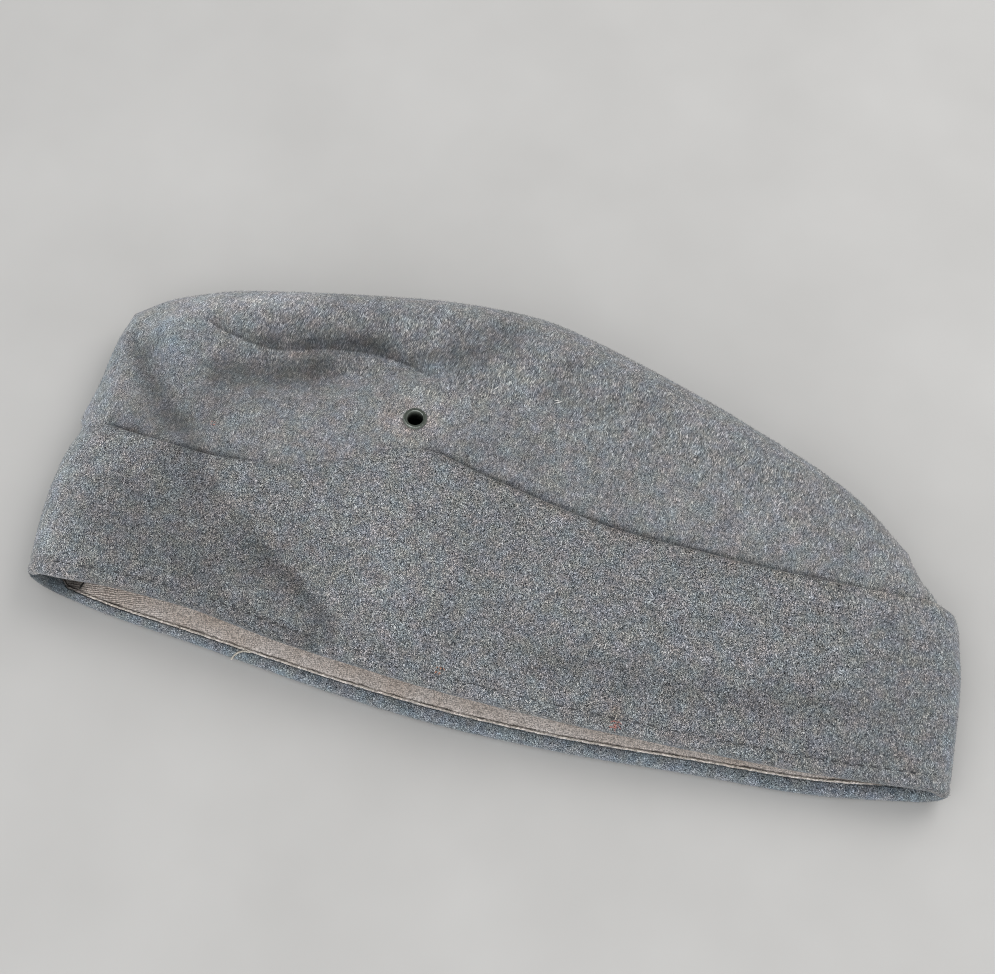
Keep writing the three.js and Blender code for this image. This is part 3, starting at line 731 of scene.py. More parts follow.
def lining_material():
    """Tan cotton twill. Its mark holds the count across the weave's lines, the tone with its painted shade, and
    their strength.
    """
    material, tree, shader, place = new_material("cotton_twill")
    weave = marks_of(tree, "weave")
    count = maths(tree, "MULTIPLY_ADD", noise(tree, place, 3.0, detail=1.0), TWILL["sway"], weave["X"])
    line = maths(tree, "SINE", maths(tree, "MULTIPLY", count, 2 * math.pi / TWILL["pitch"]))
    line = maths(tree, "MULTIPLY_ADD", line, 0.5, 0.5)
    colour = mixed(tree, weave["Z"], TWILL_MEAN, ramp(tree, line, TWILL_TONES))
    yarn = use(tree, HEATHER, {"Coordinates": place, "Size": TWILL["yarn"]})["Pick"]
    colour = tinted(tree, colour, ramp(tree, yarn, YARN_TONES))
    colour = tinted(tree, colour, ramp(tree, noise(tree, place, 12.0, detail=3.0), STAIN_TONES))
    finish = {"Base Color": tinted(tree, colour, weave["Y"]), "Roughness": 0.85, "Specular IOR Level": 0.2}
    finish["Normal"] = bumped(tree, maths(tree, "MULTIPLY", line, weave["Z"]), strength=0.6, distance=0.2)
    feed(tree, shader, finish)
    return material


def thread_material(name, colour, shade=0.6):
    """Thread or lint, uneven along its length."""
    material, tree, shader, place = new_material(name)
    fleck = ramp(tree, noise(tree, place, 0.6), ((0.3, grey(shade)), (0.7, grey(1.1))))
    feed(tree, shader, {"Base Color": tinted(tree, fleck, (*colour, 1.0)), "Roughness": 0.8})
    return material


PAINT_TONES = ((0.3, (0.026, 0.035, 0.026)), (0.7, (0.060, 0.073, 0.056)))
PAINT_GLOSS = ((0.3, grey(0.5)), (0.7, grey(0.65)))
# Dull grey-green of the flange's paint, also painted on the bore's wall as light on its lit side
DULL_PAINT = (0.165, 0.185, 0.160, 1.0)
# Near-black paint for the painted shade deep in the bore
BORE_SHADE = (0.002, 0.002, 0.002, 1.0)
# Colour of the painted highlight arcs that stand in for the rim's glints
GLINT_METAL = (0.46, 0.485, 0.45, 1.0)


def eyelet_material():
    """Dark green-grey paint. Its mark holds its painted highlight arcs, where it is dull on the flange and
    painted lighter on the bore's lit side, and how deep in the bore it is, for painted shade.
    """
    material, tree, shader, place = new_material("eyelet_paint")
    rough = noise(tree, place, 0.8, detail=3.0, roughness=0.65)
    rim = marks_of(tree, "rim")
    ragged = maths(tree, "MULTIPLY", maths(tree, "SUBTRACT", rough, 0.5), 0.8)
    glint = ramp(tree, maths(tree, "ADD", rim["X"], ragged), ((0.32, grey(0.0)), (0.62, grey(1.0))))
    paint = mixed(tree, rim["Y"], ramp(tree, rough, PAINT_TONES), DULL_PAINT)
    paint = mixed(tree, rim["Z"], paint, BORE_SHADE)
    finish = {"Base Color": mixed(tree, glint, paint, GLINT_METAL), "Roughness": ramp(tree, rough, PAINT_GLOSS)}
    finish["Normal"] = bumped(tree, rough, strength=0.25, distance=0.1)
    feed(tree, shader, finish)
    return material


def floor_material():
    material, tree, shader, place = new_material("pale_floor")
    tones = ((0.3, (0.55, 0.54, 0.525)), (0.7, (0.60, 0.59, 0.575)))
    colour = ramp(tree, noise(tree, place, 60.0, detail=3.0), tones)
    feed(tree, shader, {"Base Color": colour, "Roughness": 0.9})
    return material


LONG_NAP = {"stretch": (1.0, 5.0, 3.5), "turn": -8.0, "width": 0.165, "lump": 0.9}
SHORT_NAP = {"stretch": (1.0, 2.0, 1.0), "turn": 0.0, "width": 0.1875, "lump": 1.6}
CROWN_WOOL = wool_material("wool_crown", **LONG_NAP, contrast=0.93, steady=0.53, calmed=0.2, crease=True)
CURTAIN_WOOL = wool_material("wool_curtain", **SHORT_NAP, contrast=1.53, steady=0.8, calmed=0.42)
UNDER_WOOL = wool_material("wool_under", **SHORT_NAP, contrast=1.14, steady=0.6, calmed=0.2)
NAP = nap_material()
TWILL_COTTON = lining_material()
PALE_THREAD = thread_material("pale_thread", (0.70, 0.65, 0.57))
GREY_THREAD = thread_material("grey_thread", (0.06, 0.062, 0.066))
# Near-black bars for the painted shadow of a slit in the lining
SLIT_SHADOW_PAINT = thread_material("slit_shadow_paint", (0.02, 0.019, 0.018))
EYELET_PAINT = eyelet_material()


# Marks on the cloth, which the materials read. Most are columns, with a value for each station.

EYELET_WEAR = {"amount": 0.6, "aside": (1.5, 1.5), "width": 8.0}
# Painted shade in the mouth: darker to its front corner, more so to its rear, where both hems close, and up
# inside
FRONT_SHADE = {"share": 0.85, "under": 0.55, "from": 17.0, "to": 12.0, "past": 4.0}
REAR_SHADE = {"share": 0.85, "from": 113.0, "to": 121.0}
DEEP_SHADE = {"share": 0.9, "from": 14.0, "to": 26.0}
# The lower side's wool is painted lighter, standing in for light reaching into the mouth, and tinted blue
UNDER_TONE, UNDER_TINT = 1.22, -0.5
CROWN_TONE = 1.16


def eyelet_wear(place):
    """Brown tint in the wool round the eyelet, strongest below and to the left of it."""
    way = place - SEATS["left"].in_plan() + np.array(EYELET_WEAR["aside"])
    return EYELET_WEAR["amount"] * bump(np.linalg.norm(way, axis=-1), EYELET_WEAR["width"])


def tone_of(net, rows):
    """Tone of the wool on rows of a net: below, painted lighter and with painted shade towards the front
    corner; above, the painted light and shade of SHADES.
    """
    if net.side.facing > 0:
        return 1 + spread(SHADES, net.place[:, rows])
    into_front = FRONT + FRONT_SHADE["from"] + FRONT_SHADE["past"] - net.stations
    front = smoothstep(into_front / FRONT_SHADE["from"])[:, None]
    return np.tile(UNDER_TONE * (1 - FRONT_SHADE["under"] * front), len(rows))


def tint_of(net, rows):
    """Brown or blue tint of the wool on rows of a net."""
    if net.side.facing > 0:
        return spread(TINTS, net.place[:, rows])
    return np.full((len(net.stations), len(rows)), UNDER_TINT)


def above_edge(net):
    """How far up the rib each point lies from the curtain's edge."""
    height = run_lengths(net.face, 1)
    return height - np.array([np.interp(EDGE, net.shares, rib) for rib in height])[:, None]


# Ahead of its peak the curtain's edge lies close, its nap mixed with the crown's. It fades at both ends too:
# past a station by a share, over a length
HIDDEN_EDGE = {"from": -88.0, "fade_in": 10.0, "to": -29.0, "fade_out": 8.0, "share": 0.97}
EDGE_FRONT = {"from": 5.0, "over": 8.0}
EDGE_REAR = ((0.4, 80, 20), (0.45, 112, 12))


def edge_strength(stations):
    """How sharply the curtain's edge shows."""
    start = smoothstep((stations - HIDDEN_EDGE["from"]) / HIDDEN_EDGE["fade_in"])
    end = smoothstep((HIDDEN_EDGE["to"] - stations) / HIDDEN_EDGE["fade_out"])
    front = smoothstep((stations - FRONT - EDGE_FRONT["from"]) / EDGE_FRONT["over"])
    rear = 1.0
    for share, past, length in EDGE_REAR:
        rear = rear - share * smoothstep((stations - past) / length)
    return ((1 - HIDDEN_EDGE["share"] * start * end) * front * rear)[:, None]


def uneven(run, seed, low, lengths=(5, 9, 16, 31)):
    """Values between low and 1 that rise and fall along a run."""
    rng = np.random.default_rng(seed)
    swing = sum(np.sin(2 * math.pi * run / length + rng.uniform(0, 2 * math.pi)) for length in lengths)
    return (low + (1 - low) * smoothstep(0.5 + swing / len(lengths)))[:, None]


# How strongly the crease shows along its path: its painted shade line, and the thinning of the nap on it
CREASE_STRENGTH = ((0, 0.06, 0.2, 0.3, 0.5, 0.62, 0.82, 0.92, 1), (0, 1.0, 1.0, 0.9, 0.5, 0.95, 1.0, 0.5, 0))


def crease_mark(place):
    """How far places in plan lie above or below the crease, and how strongly its painted shade line shows
    there.
    """
    distance, at, left = nearest_on(curve(CREASE, 3 * FOLD_STEPS), place)
    crease_strength = np.interp(at, *CREASE_STRENGTH)
    return np.stack([np.where(left, distance, -distance), crease_strength, 0 * at], axis=-1)


# Where brushing of the nap begins along the cap and up the ribs, and where it lessens on the crown's rear
BRUSHED_CROWN = {"from": -122, "over": 45, "share": 0.5, "share_over": 0.25,
                 "rear": 60, "rear_over": 40, "less": 0.5}
BRUSHED_CURTAIN = {"from": 75, "over": 45}


def brushed_mark(net):
    """How far the crown's nap is brushed towards the ridge: fully above the fold line, less at both ends."""
    at = BRUSHED_CROWN
    front = smoothstep((net.stations - at["from"]) / at["over"])
    rear = 1 - at["less"] * smoothstep((net.stations - at["rear"]) / at["rear_over"])
    return (front * rear)[:, None] * smoothstep((net.shares - at["share"]) / at["share_over"])


# Pieces of cloth

# Ahead of the rear the crown's cloth swells over the curtain's edge, which thins out, so the outline runs on
SWELL = {"height": 1.3, "hidden_height": 0.55, "below": 0.6, "start": 3.0, "fade": 8.0, "thinned": 0.8,
         "thin_width": 6.0, "rear": 60, "over": 40}
# Along the curtain's edge the crown sinks into a crevice, with painted shadow in it (tone) and broader painted
# shade above it (shade)
EDGE_CREVICE = {"depth": 0.5, "at": 0.35, "width": 0.9, "tone": 0.45,
                "shade": 0.12, "shade_at": 1.8, "shade_width": 2.4}


def ahead_of_rear(stations):
    return smoothstep((SWELL["rear"] - stations) / SWELL["over"])[:, None]


def make_crown(side, step, roll_steps, rows):
    net = Net(side, stations_of(side, step, roll_steps), crown_shares(*rows))
    every = np.arange(len(net.shares))
    above = above_edge(net)
    shown = edge_strength(net.stations)
    crevice = bump(above - EDGE_CREVICE["at"], EDGE_CREVICE["width"])
    swell = smoothstep((above + SWELL["below"]) / SWELL["start"])
    swell *= bump(np.maximum(above - SWELL["start"], 0), SWELL["fade"])
    height = SWELL["height"] * (1 - net.roll**2) * ahead_of_rear(net.stations)
    height += SWELL["hidden_height"] * (1 - shown) * net.roll**2
    sunk = height * swell - EDGE_CREVICE["depth"] * crevice * net.roll * shown
    drop = np.where(net.shares == 0, -GAP, 0.0)
    outer, inner = net.layer(every, sunk, drop), net.layer(every, sunk - WOOL, drop)
    # Painted shadow in the crevice, and broader painted shade above it, where the edge shows
    dark = EDGE_CREVICE["tone"] * crevice * uneven(net.stations, 31, 0.5)
    broad = EDGE_CREVICE["shade"] * bump(above - EDGE_CREVICE["shade_at"], EDGE_CREVICE["shade_width"])
    dark = (dark + broad * uneven(net.stations, 32, 0.2)) * shown
    marks = {"worn": tint_of(net, every), "tone": CROWN_TONE * tone_of(net, every) * (1 - dark)}
    marks["brushed"] = brushed_mark(net)
    if side.facing > 0:
        marks["worn"] += eyelet_wear(net.place)
        marks["crease"] = crease_mark(net.place)
    piece = cloth_piece(f"crown_{side.name}", CROWN_WOOL, outer, inner, WOOL, marks, SEATS[side.name])
    return piece, net, outer, marks


# How far the lining's lower edge lies above the hem: at the front and rear, more in the middle, and in the
# front corner, where the hem covers it
LINING_RISE = {"front": 0.1, "rear": 1.7, "middle": 0.9, "middle_at": -25, "middle_width": 45,
               "corner": 2.6, "corner_end": 10.2, "corner_fade": 4}


def lining_rise(stations):
    at = LINING_RISE
    share = smoothstep((stations - FRONT) / (REAR - FRONT))
    corner = at["corner"] * smoothstep((FRONT + at["corner_end"] - stations) / at["corner_fade"])
    middle = at["middle"] * bump(stations - at["middle_at"], at["middle_width"])
    return (at["front"] + (at["rear"] - at["front"]) * share + corner + middle)[:, None]


# The hem rolls round the crown's edge, up to the lining's
FOOT = {"inside": -2.0, "steps": 12, "clear": 0.02}
TURN_UP = np.array([0.3, 0.6, 0.85, 1.0])  # rows of the part turned up inside, as shares of its height
TURN_UP_GAP = 0.1
STITCH_ROW = 2.3  # how far the row of stitches runs above the hem
STITCH_GROOVE = {"depth": 0.35, "width": 0.8, "shade": 0.13}
# The curtain's rear corner stands out from the crown, rounded off towards its edge
CORNER = {"out": 2.1, "past": 0.5, "round": 3.5, "length": 7.0, "within": 12.0}
# Its upper edge sinks to the crown where it hides, is painted with shade along its rim, and worn brown from a
# station on
CURTAIN_EDGE = {"sunk": 1.25, "sunk_width": 7.0, "shade": 0.3, "shade_width": 0.8,
                "brown": 0.32, "brown_width": 3.0, "brown_from": -45, "brown_over": 30}


def make_curtain(side, step, roll_steps, rows):
    rim = EDGE * (1 - RIM_SHARES[::-1])
    shares = np.concatenate([steps_between(0, EDGE * (1 - RIM_SHARES[-1]), rows), rim])
    net = Net(side, stations_of(side, step, roll_steps), shares)
    shown = edge_strength(net.stations)
    height = run_lengths(net.face, 1)
    below = height[:, -1:] - height
    corner = smoothstep((net.stations - REAR) / CORNER["within"] + 1)[:, None] * (1 - net.roll**2)
    corner *= smoothstep((below + CORNER["past"]) / CORNER["round"])
    corner *= bump(np.maximum(below - CORNER["round"], 0), CORNER["length"])
    net.relief = net.relief + CORNER["out"] * corner
    stitched = bump(height - STITCH_ROW, STITCH_GROOVE["width"])
    pulled = -STITCH_GROOVE["depth"] * stitched
    pulled -= CURTAIN_EDGE["sunk"] * ((1 - shown) * bump(below, CURTAIN_EDGE["sunk_width"]))
    thinned = SWELL["thinned"] * (1 - net.roll**2) * ahead_of_rear(net.stations)
    pulled -= thinned * bump(below, SWELL["thin_width"])

    # Rows run down the curtain, round its foot and up inside
    down = np.arange(len(shares))[::-1]
    order = np.concatenate([down, np.zeros(FOOT["steps"] + len(TURN_UP), int)])
    angles = np.linspace(0, math.pi, FOOT["steps"] + 1)[1:]
    outside = GAP + WOOL
    radius = (outside - FOOT["inside"]) / 2
    foot_outer = (outside + FOOT["inside"]) / 2 + radius * np.cos(angles)
    foot_inner = np.linspace(GAP, -WOOL - FOOT["clear"], FOOT["steps"] + 1)[1:]
    turn_up = -TURN_UP * (lining_rise(net.stations) - TURN_UP_GAP)
    level = 0 * height
    foot = np.ones((len(net.stations), 1))
    last = foot * np.ones(len(TURN_UP))
    outer_offset = np.hstack([outside + pulled[:, down], foot * foot_outer, last * FOOT["inside"]])
    inner_offset = np.hstack([level + GAP, foot * foot_inner, last * foot_inner[-1]])
    outer = net.layer(order, outer_offset, np.hstack([level, foot * radius * np.sin(angles), turn_up]))
    inner = net.layer(order, inner_offset, np.hstack([level, foot * 0 * angles, turn_up]))

    from_edge = run_lengths(outer, 1)
    rim_shade = CURTAIN_EDGE["shade"] * bump(from_edge, CURTAIN_EDGE["shade_width"])
    tone = tone_of(net, order) * (1 - rim_shade * shown)
    tone[:, :len(down)] *= (1 - STITCH_GROOVE["shade"] * stitched)[:, down]
    marks = {"worn": tint_of(net, order), "tone": tone}
    if side.facing > 0:
        ahead = smoothstep((net.place[:, order, 0] - CURTAIN_EDGE["brown_from"]) / CURTAIN_EDGE["brown_over"])
        marks["worn"] += bump(from_edge, CURTAIN_EDGE["brown_width"]) * ahead * CURTAIN_EDGE["brown"]
    brushed = smoothstep((net.stations - BRUSHED_CURTAIN["from"]) / BRUSHED_CURTAIN["over"])
    marks["brushed"] = np.tile(brushed[:, None], len(order))
    wool = CURTAIN_WOOL if side.facing > 0 else UNDER_WOOL
    piece = cloth_piece(f"curtain_{side.name}", wool, outer, inner, WOOL, marks)
    return piece, net, outer, marks


LINING_ROWS = np.array([0, 0.08, 0.2, 0.35, 0.5, 0.65, 0.8, 0.9, 1.0,
                        1.1, 1.2, 1.4, 1.7, 2.1, 2.6, 3.4, 4.4, 5.6])
# Share of the ribs up to the curtain's edge from which the crown's own rows follow those by the hem
LINING_START = 0.18
# The lining's edge is a lip with a groove above it, where its stitches pull, and the groove gets painted shade.
# It wavers, and is darker along its very edge.
LIP = {"at": 0.3, "height": 0.14, "width": 0.28, "waver": 0.06, "pulled": 0.07, "shade": 0.8,
       "groove_at": 0.82, "groove": 0.4, "groove_width": 0.24,
       "edge_darkening": 0.35, "edge_darkening_at": 0.1, "edge_darkening_width": 0.45}
# How its unevenness comes and goes along the hem
LIP_LENGTHS = (5.2, 8.3, 13.0, 24.0)
WAVER_LENGTHS = (3.1, 4.7, 8.3)
EDGE_DARKENING_LENGTHS = (2.3, 3.7, 6.1)


def weave_mark(stations, height):
    """The count across the lines of the lining's weave, its tone with painted shade in the groove, towards the
    mouth's corners and deep inside, and how clear the lines are.
    """
    slant = np.interp(stations, *TWILL_SLANT)
    turned = np.concatenate([[0], np.cumsum(np.diff(stations) * (slant[1:] + slant[:-1]) / 2)])[:, None]
    pulled = LIP["pulled"] * uneven(stations, 42, -1, LIP_LENGTHS)
    groove = bump(height - LIP["groove_at"] - pulled, LIP["groove_width"])
    tone = 1 - LIP["shade"] * groove * uneven(stations, 43, 0.35, LIP_LENGTHS)
    edge_darkening = LIP["edge_darkening"] * bump(height - LIP["edge_darkening_at"], LIP["edge_darkening_width"])
    tone *= 1 - edge_darkening * uneven(stations, 46, -0.4, EDGE_DARKENING_LENGTHS)
    into_front = (FRONT + FRONT_SHADE["from"] - stations) / (FRONT_SHADE["from"] - FRONT_SHADE["to"])
    tone *= 1 - FRONT_SHADE["share"] * smoothstep(into_front)[:, None]
    for way, shade in ((stations[:, None], REAR_SHADE), (height, DEEP_SHADE)):
        tone *= 1 - shade["share"] * smoothstep((way - shade["from"]) / (shade["to"] - shade["from"]))
    clear = np.interp(stations, *TWILL_CLEAR)[:, None]
    return np.stack(np.broadcast_arrays(height + turned, tone, clear), axis=-1)


def make_lining(side, step, roll_steps, rows):
    upper = crown_shares(*rows)
    upper = np.concatenate([[0], upper[upper > EDGE * LINING_START]])
    net = Net(side, stations_of(side, step, roll_steps), upper)
    order = np.concatenate([np.zeros(len(LINING_ROWS), int), np.arange(1, len(upper))])
    plain = np.zeros((len(net.stations), len(upper) - 1))
    rise = lining_rise(net.stations) + LIP["waver"] * uneven(net.stations, 44, -1, WAVER_LENGTHS)
    drop = np.hstack([-(rise + LINING_ROWS), plain])
    lip = LIP["height"] * bump(LINING_ROWS - LIP["at"], LIP["width"])
    lip = lip * uneven(net.stations, 45, 0, LIP_LENGTHS)
    groove = LIP["groove"] * bump(LINING_ROWS - LIP["groove_at"], LIP["groove_width"])
    lip = np.hstack([lip - groove * uneven(net.stations, 41, 0.4, LIP_LENGTHS), plain])
    outside = -WOOL - GAP
    outer, inner = net.layer(order, outside, drop), net.layer(order, outside - COTTON - lip, drop)
    marks = {"weave": weave_mark(net.stations, run_lengths(outer, 1))}
    name = f"lining_{side.name}"
    piece = cloth_piece(name, TWILL_COTTON, outer, inner, COTTON, marks, SEATS[side.name])
    return piece, net


crown_left, crown_net, crown_face, crown_marks = make_crown(LEFT, 1.05, 14, (6, 40, 58))
crown_right, _, under_face, under_marks = make_crown(RIGHT, 2.0, 9, (5, 18, 26))
curtain_left, curtain_net, curtain_face, curtain_marks = make_curtain(LEFT, 1.05, 14, 46)
curtain_right, lower_net, lower_face, lower_marks = make_curtain(RIGHT, 1.6, 10, 24)
lining_left, lining_net = make_lining(LEFT, 2.2, 8, (10, 14, 18))
lining_right, lower_lining_net = make_lining(RIGHT, 1.0, 8, (10, 14, 18))


# Eyelets

# Profile of the eyelet from its bore over the rolled rim to the flange, as radius and height
EYELET_RIM = ((2.4, 0.2), (2.42, 0.5), (2.5, 0.72), (2.66, 0.88), (2.86, 0.94), (3.08, 0.9), (3.3, 0.76),
              (3.5, 0.55), (3.62, 0.4), (3.65, 0.28))
EYELET = {"tube": 2.6, "base": 0.28, "back": 3.3, "turns": 56}
EYELET_BACK = -(WOOL + COTTON + 3 * GAP)
EYELET_END = EYELET_BACK - 0.5
# Painted highlight arcs on the rim, standing in for its glints: radius and its spread, the angle in plan where
# each is brightest, and how much
EYELET_ARCS = ((3.22, 0.15, 262, 0.85), (2.53, 0.13, 76, 0.75))
GLINT_FROM = 0.3  # height over the cloth
# The bore's wall is painted lighter on one side, standing in for light, and painted with shade from a depth on.
# The flange dulls outwards, less on one side, which gets painted shade.
EYELET_WALL = {"lit_side": 130, "lit_from": -1.5, "lit_over": 1.3, "dark": -0.6, "dark_over": 1.2}
EYELET_DULL = {"from": 3.2, "to": 3.5, "dark_side": 55, "least": 0.35, "most": 0.9}
SIDE_POWER = 0.7  # how broadly one side of the eyelet differs from the other


def rim_mark(seat, point, height):
    """Where the eyelet's rim gets painted highlight arcs, where its paint is dull on the flange and painted
    lighter on the bore's lit side, and how deep in the bore a point lies.
    """
    way = point - seat.centre
    out = (way - seat.axis * way.dot(seat.axis)).length / MM
    turn = math.atan2(way.y, way.x)

    def facing(angle):
        return max(math.cos(turn - math.radians(angle)), 0) ** SIDE_POWER

    worn = 0.0
    for radius, width, angle, amount in EYELET_ARCS:
        worn += amount * facing(angle) * bump(out - radius, width) * (height > GLINT_FROM)
    if out < EYELET["tube"]:
        lit = smoothstep((height - EYELET_WALL["lit_from"]) / EYELET_WALL["lit_over"])
        deep = smoothstep((EYELET_WALL["dark"] - height) / EYELET_WALL["dark_over"])
        return worn, facing(EYELET_WALL["lit_side"]) * lit, deep
    dull = smoothstep((out - EYELET_DULL["from"]) / (EYELET_DULL["to"] - EYELET_DULL["from"]))
    away = (1 - math.cos(turn - math.radians(EYELET_DULL["dark_side"]))) / 2
    return worn, dull * (EYELET_DULL["least"] + (EYELET_DULL["most"] - EYELET_DULL["least"]) * away), 0.0


def make_eyelet(side):
    """A rolled rim on a tube through the cloth, spun from its profile, with a flat flange behind."""
    seat = SEATS[side.name]
    tube, back, bore = EYELET["tube"], EYELET["back"], EYELET_RIM[0][0]
    behind = ((tube, EYELET["base"]), (tube, EYELET_BACK), (back, EYELET_BACK))
    behind += ((back, EYELET_END), (bore, EYELET_END))
    bm = bmesh.new()
    rim = bm.verts.layers.float_vector.new("rim")
    ring = [bm.verts.new((radius * MM, 0, height * MM)) for radius, height in EYELET_RIM + behind]
    edges = [bm.edges.new(pair) for pair in zip(ring, ring[1:] + ring[:1])]
    turn = {"cent": (0, 0, 0), "axis": (0, 0, 1), "angle": 2 * math.pi, "steps": EYELET["turns"]}
    bmesh.ops.spin(bm, geom=ring + edges, use_merge=True, **turn)
    bmesh.ops.remove_doubles(bm, verts=bm.verts, dist=1e-7)
    bmesh.ops.recalc_face_normals(bm, faces=bm.faces)
    heights = {vert: vert.co.z / MM for vert in bm.verts}
    bmesh.ops.transform(bm, matrix=seat.matrix(), verts=bm.verts)
    for vert, height in heights.items():
        vert[rim] = rim_mark(seat, vert.co, height)
    piece = shaped_piece(f"eyelet_{side.name}_rim", bm, EYELET_PAINT)
    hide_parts(f"eyelet_{side.name}")


for side in (LEFT, RIGHT):
    make_eyelet(side)


# Nap, stitches, threads and lint: small shapes that are copied many times


def template(bm):
    """Points and triangles of a small shape."""
    bmesh.ops.triangulate(bm, faces=bm.faces)
    bm.verts.index_update()
    points = np.array([v.co[:] for v in bm.verts])
    triangles = np.array([[v.index for v in f.verts] for f in bm.faces])
    bm.free()
    return points, triangles


def fibre_template():
    """A three-sided spike from the origin along Z, one wide and one long."""
    bm = bmesh.new()
    bmesh.ops.create_cone(bm, cap_ends=True, segments=3, radius1=1, radius2=0, depth=1)
    bmesh.ops.remove_doubles(bm, verts=bm.verts, dist=1e-5)
    bmesh.ops.translate(bm, vec=(0, 0, 0.5), verts=bm.verts)
    return template(bm)


def stitch_template():
    """A rounded bar along Z, one wide and one long."""
    bm = bmesh.new()
    bmesh.ops.create_uvsphere(bm, u_segments=6, v_segments=5, radius=1)
    bmesh.ops.scale(bm, vec=(1, 1, 0.5), verts=bm.verts)
    return template(bm)


FIBRE = fibre_template()
STITCH = stitch_template()
UP = np.array([0.0, 0.0, 1.0])


def across(ways, ups, radius, length):
    """Axes of copies that run along their ways, with Y turned towards up: so thick, and so long."""
    sides = unit(np.cross(ups, ways))
    axes = np.stack([sides, np.cross(ways, sides), ways], axis=1)
    axes[:, :2] *= np.reshape(radius, (-1, 1, 1))
    axes[:, 2] *= np.reshape(length, (-1, 1))
    return axes


def copies(name, shape, roots, axes, material, marks=()):
    """One mesh of copies of a small shape. The axes hold each copy's own X, Y and Z, with their lengths."""
    points, triangles = shape
    corners = roots[:, None] + np.einsum("pk,nkc->npc", points, axes)
    faces = triangles[None] + (np.arange(len(roots)) * len(points))[:, None, None]
    mesh = bpy.data.meshes.new(name)
    mesh.from_pydata(placed(corners).reshape(-1, 3).tolist(), [], faces.reshape(-1, 3).tolist())
    for mark, values in dict(marks).items():
        layer = mesh.attributes.new(mark, "FLOAT", "POINT")
        layer.data.foreach_set("value", np.repeat(values, len(points)).astype(np.float32))
    return add_piece(name, mesh, material)


NAP_WIDTH = (0.03, 0.055)
NAP_ROOT = 0.08  # how deep a fibre is rooted in the cloth
NAP_CLEAR = 0.1  # height over the floor that its tip keeps


def make_nap(name, facing, points, marks, weight, count, length, lift, comb, seed):
    """Loose fibres over a face of wool. comb is the spread of their turn from the way to the ridge."""
    rng = np.random.default_rng(seed)
    here, ahead = points[:-1, :-1], points[1:, :-1] - points[:-1, :-1]
    upward = points[:-1, 1:] - points[:-1, :-1]
    out = np.cross(ahead, upward)
    area = np.linalg.norm(out, axis=-1) * weight[:-1, :-1]
    cells = rng.choice(area.size, size=count, p=(area / area.sum()).ravel())
    here, ahead, upward, out = (values.reshape(-1, 3)[cells] for values in (here, ahead, upward, out))
    shares = rng.random((2, count, 1))
    roots = here + ahead * shares[0] + upward * shares[1]
    out = unit(out) * facing
    turn = rng.normal(0, comb, (count, 1))
    flat = unit(unit(upward) * np.cos(turn) + unit(ahead) * np.sin(turn))
    rise = np.radians(rng.uniform(*lift, (count, 1)))
    ways = unit(flat * np.cos(rise) + out * np.sin(rise))
    axes = across(ways, out, rng.uniform(*NAP_WIDTH, count), rng.uniform(*length, count))
    strand_marks = {"pick": rng.random(count)}
    for mark in ("worn", "tone"):
        strand_marks[mark] = marks[mark][:-1, :-1].ravel()[cells]
    roots -= out * NAP_ROOT
    kept = (roots + axes[:, 2])[:, 2] > NAP_CLEAR
    strand_marks = {mark: values[kept] for mark, values in strand_marks.items()}
    copies(name, FIBRE, roots[kept], axes[kept], NAP, strand_marks)


# Where nap begins past a place, and over which length it thickens
NAP_FROM = {"edge": (0.3, 0.8), "eyelet": (3.9, 0.8), "rim": (0.2, 0.3),
            "floor": (1.5, 1.5), "low": (0.5, 1.0)}
NAP_CORNER = {"reach": 6, "from": 0.7}
NAP_CREASE = {"less": 0.8, "at": 0.1, "width": 0.7}
NAP_RIM = {"more": 2.0, "at": 0.6, "width": 0.6}
NAP_STITCHES = {"less": 0.8, "width": 0.9}


def thickening(way, place):
    start, length = NAP_FROM[place]
    return smoothstep((way - start) / length)


def clear_of_corners(points):
    """0 at the corners of the seam, where the ribs run together, and 1 away from them."""
    ways = [np.linalg.norm(points[..., :2] - corner, axis=-1) for corner in (SEAM[0][-1], SEAM[2][-1])]
    return np.prod([smoothstep(way / NAP_CORNER["reach"] - NAP_CORNER["from"]) for way in ways], axis=0)


def clear_of_eyelet(points, seat):
    """0 on an eyelet, and 1 away from it."""
    return thickening(np.linalg.norm(points[..., :2] - seat.in_plan(), axis=-1), "eyelet")


def crown_left_weight():
    """How thick the nap is on the upper crown: clear of the curtain's edge, the eyelet and the crease."""
    weight = thickening(above_edge(crown_net), "edge") * clear_of_corners(crown_face)
    weight *= clear_of_eyelet(crown_face, SEATS["left"])
    way, crease_strength, _ = np.moveaxis(crown_marks["crease"], -1, 0)
    return weight * (1 - NAP_CREASE["less"] * bump(way - NAP_CREASE["at"], NAP_CREASE["width"]) * crease_strength)


def curtain_left_weight():
    """How thick the nap is on the upper curtain: more along its edge, and less over the stitches."""
    from_edge = run_lengths(curtain_face, 1)
    more = NAP_RIM["more"] * bump(from_edge - NAP_RIM["at"], NAP_RIM["width"])
    weight = thickening(from_edge, "rim") * (1 + more)
    stitched = bump(run_lengths(curtain_net.face, 1) - STITCH_ROW, NAP_STITCHES["width"])
    weight[:, :len(curtain_net.shares)] *= 1 - NAP_STITCHES["less"] * stitched[:, ::-1]
    return weight


def crown_right_weight():
    """How thick the nap is on the lower crown, where it is off the floor."""
    weight = thickening(under_face[..., 2], "floor") * clear_of_corners(under_face)
    return weight * clear_of_eyelet(under_face, SEATS["right"])


def curtain_right_weight():
    """How thick the nap is on the lower curtain, where it is off the floor."""
    return thickening(lower_face[..., 2], "low")


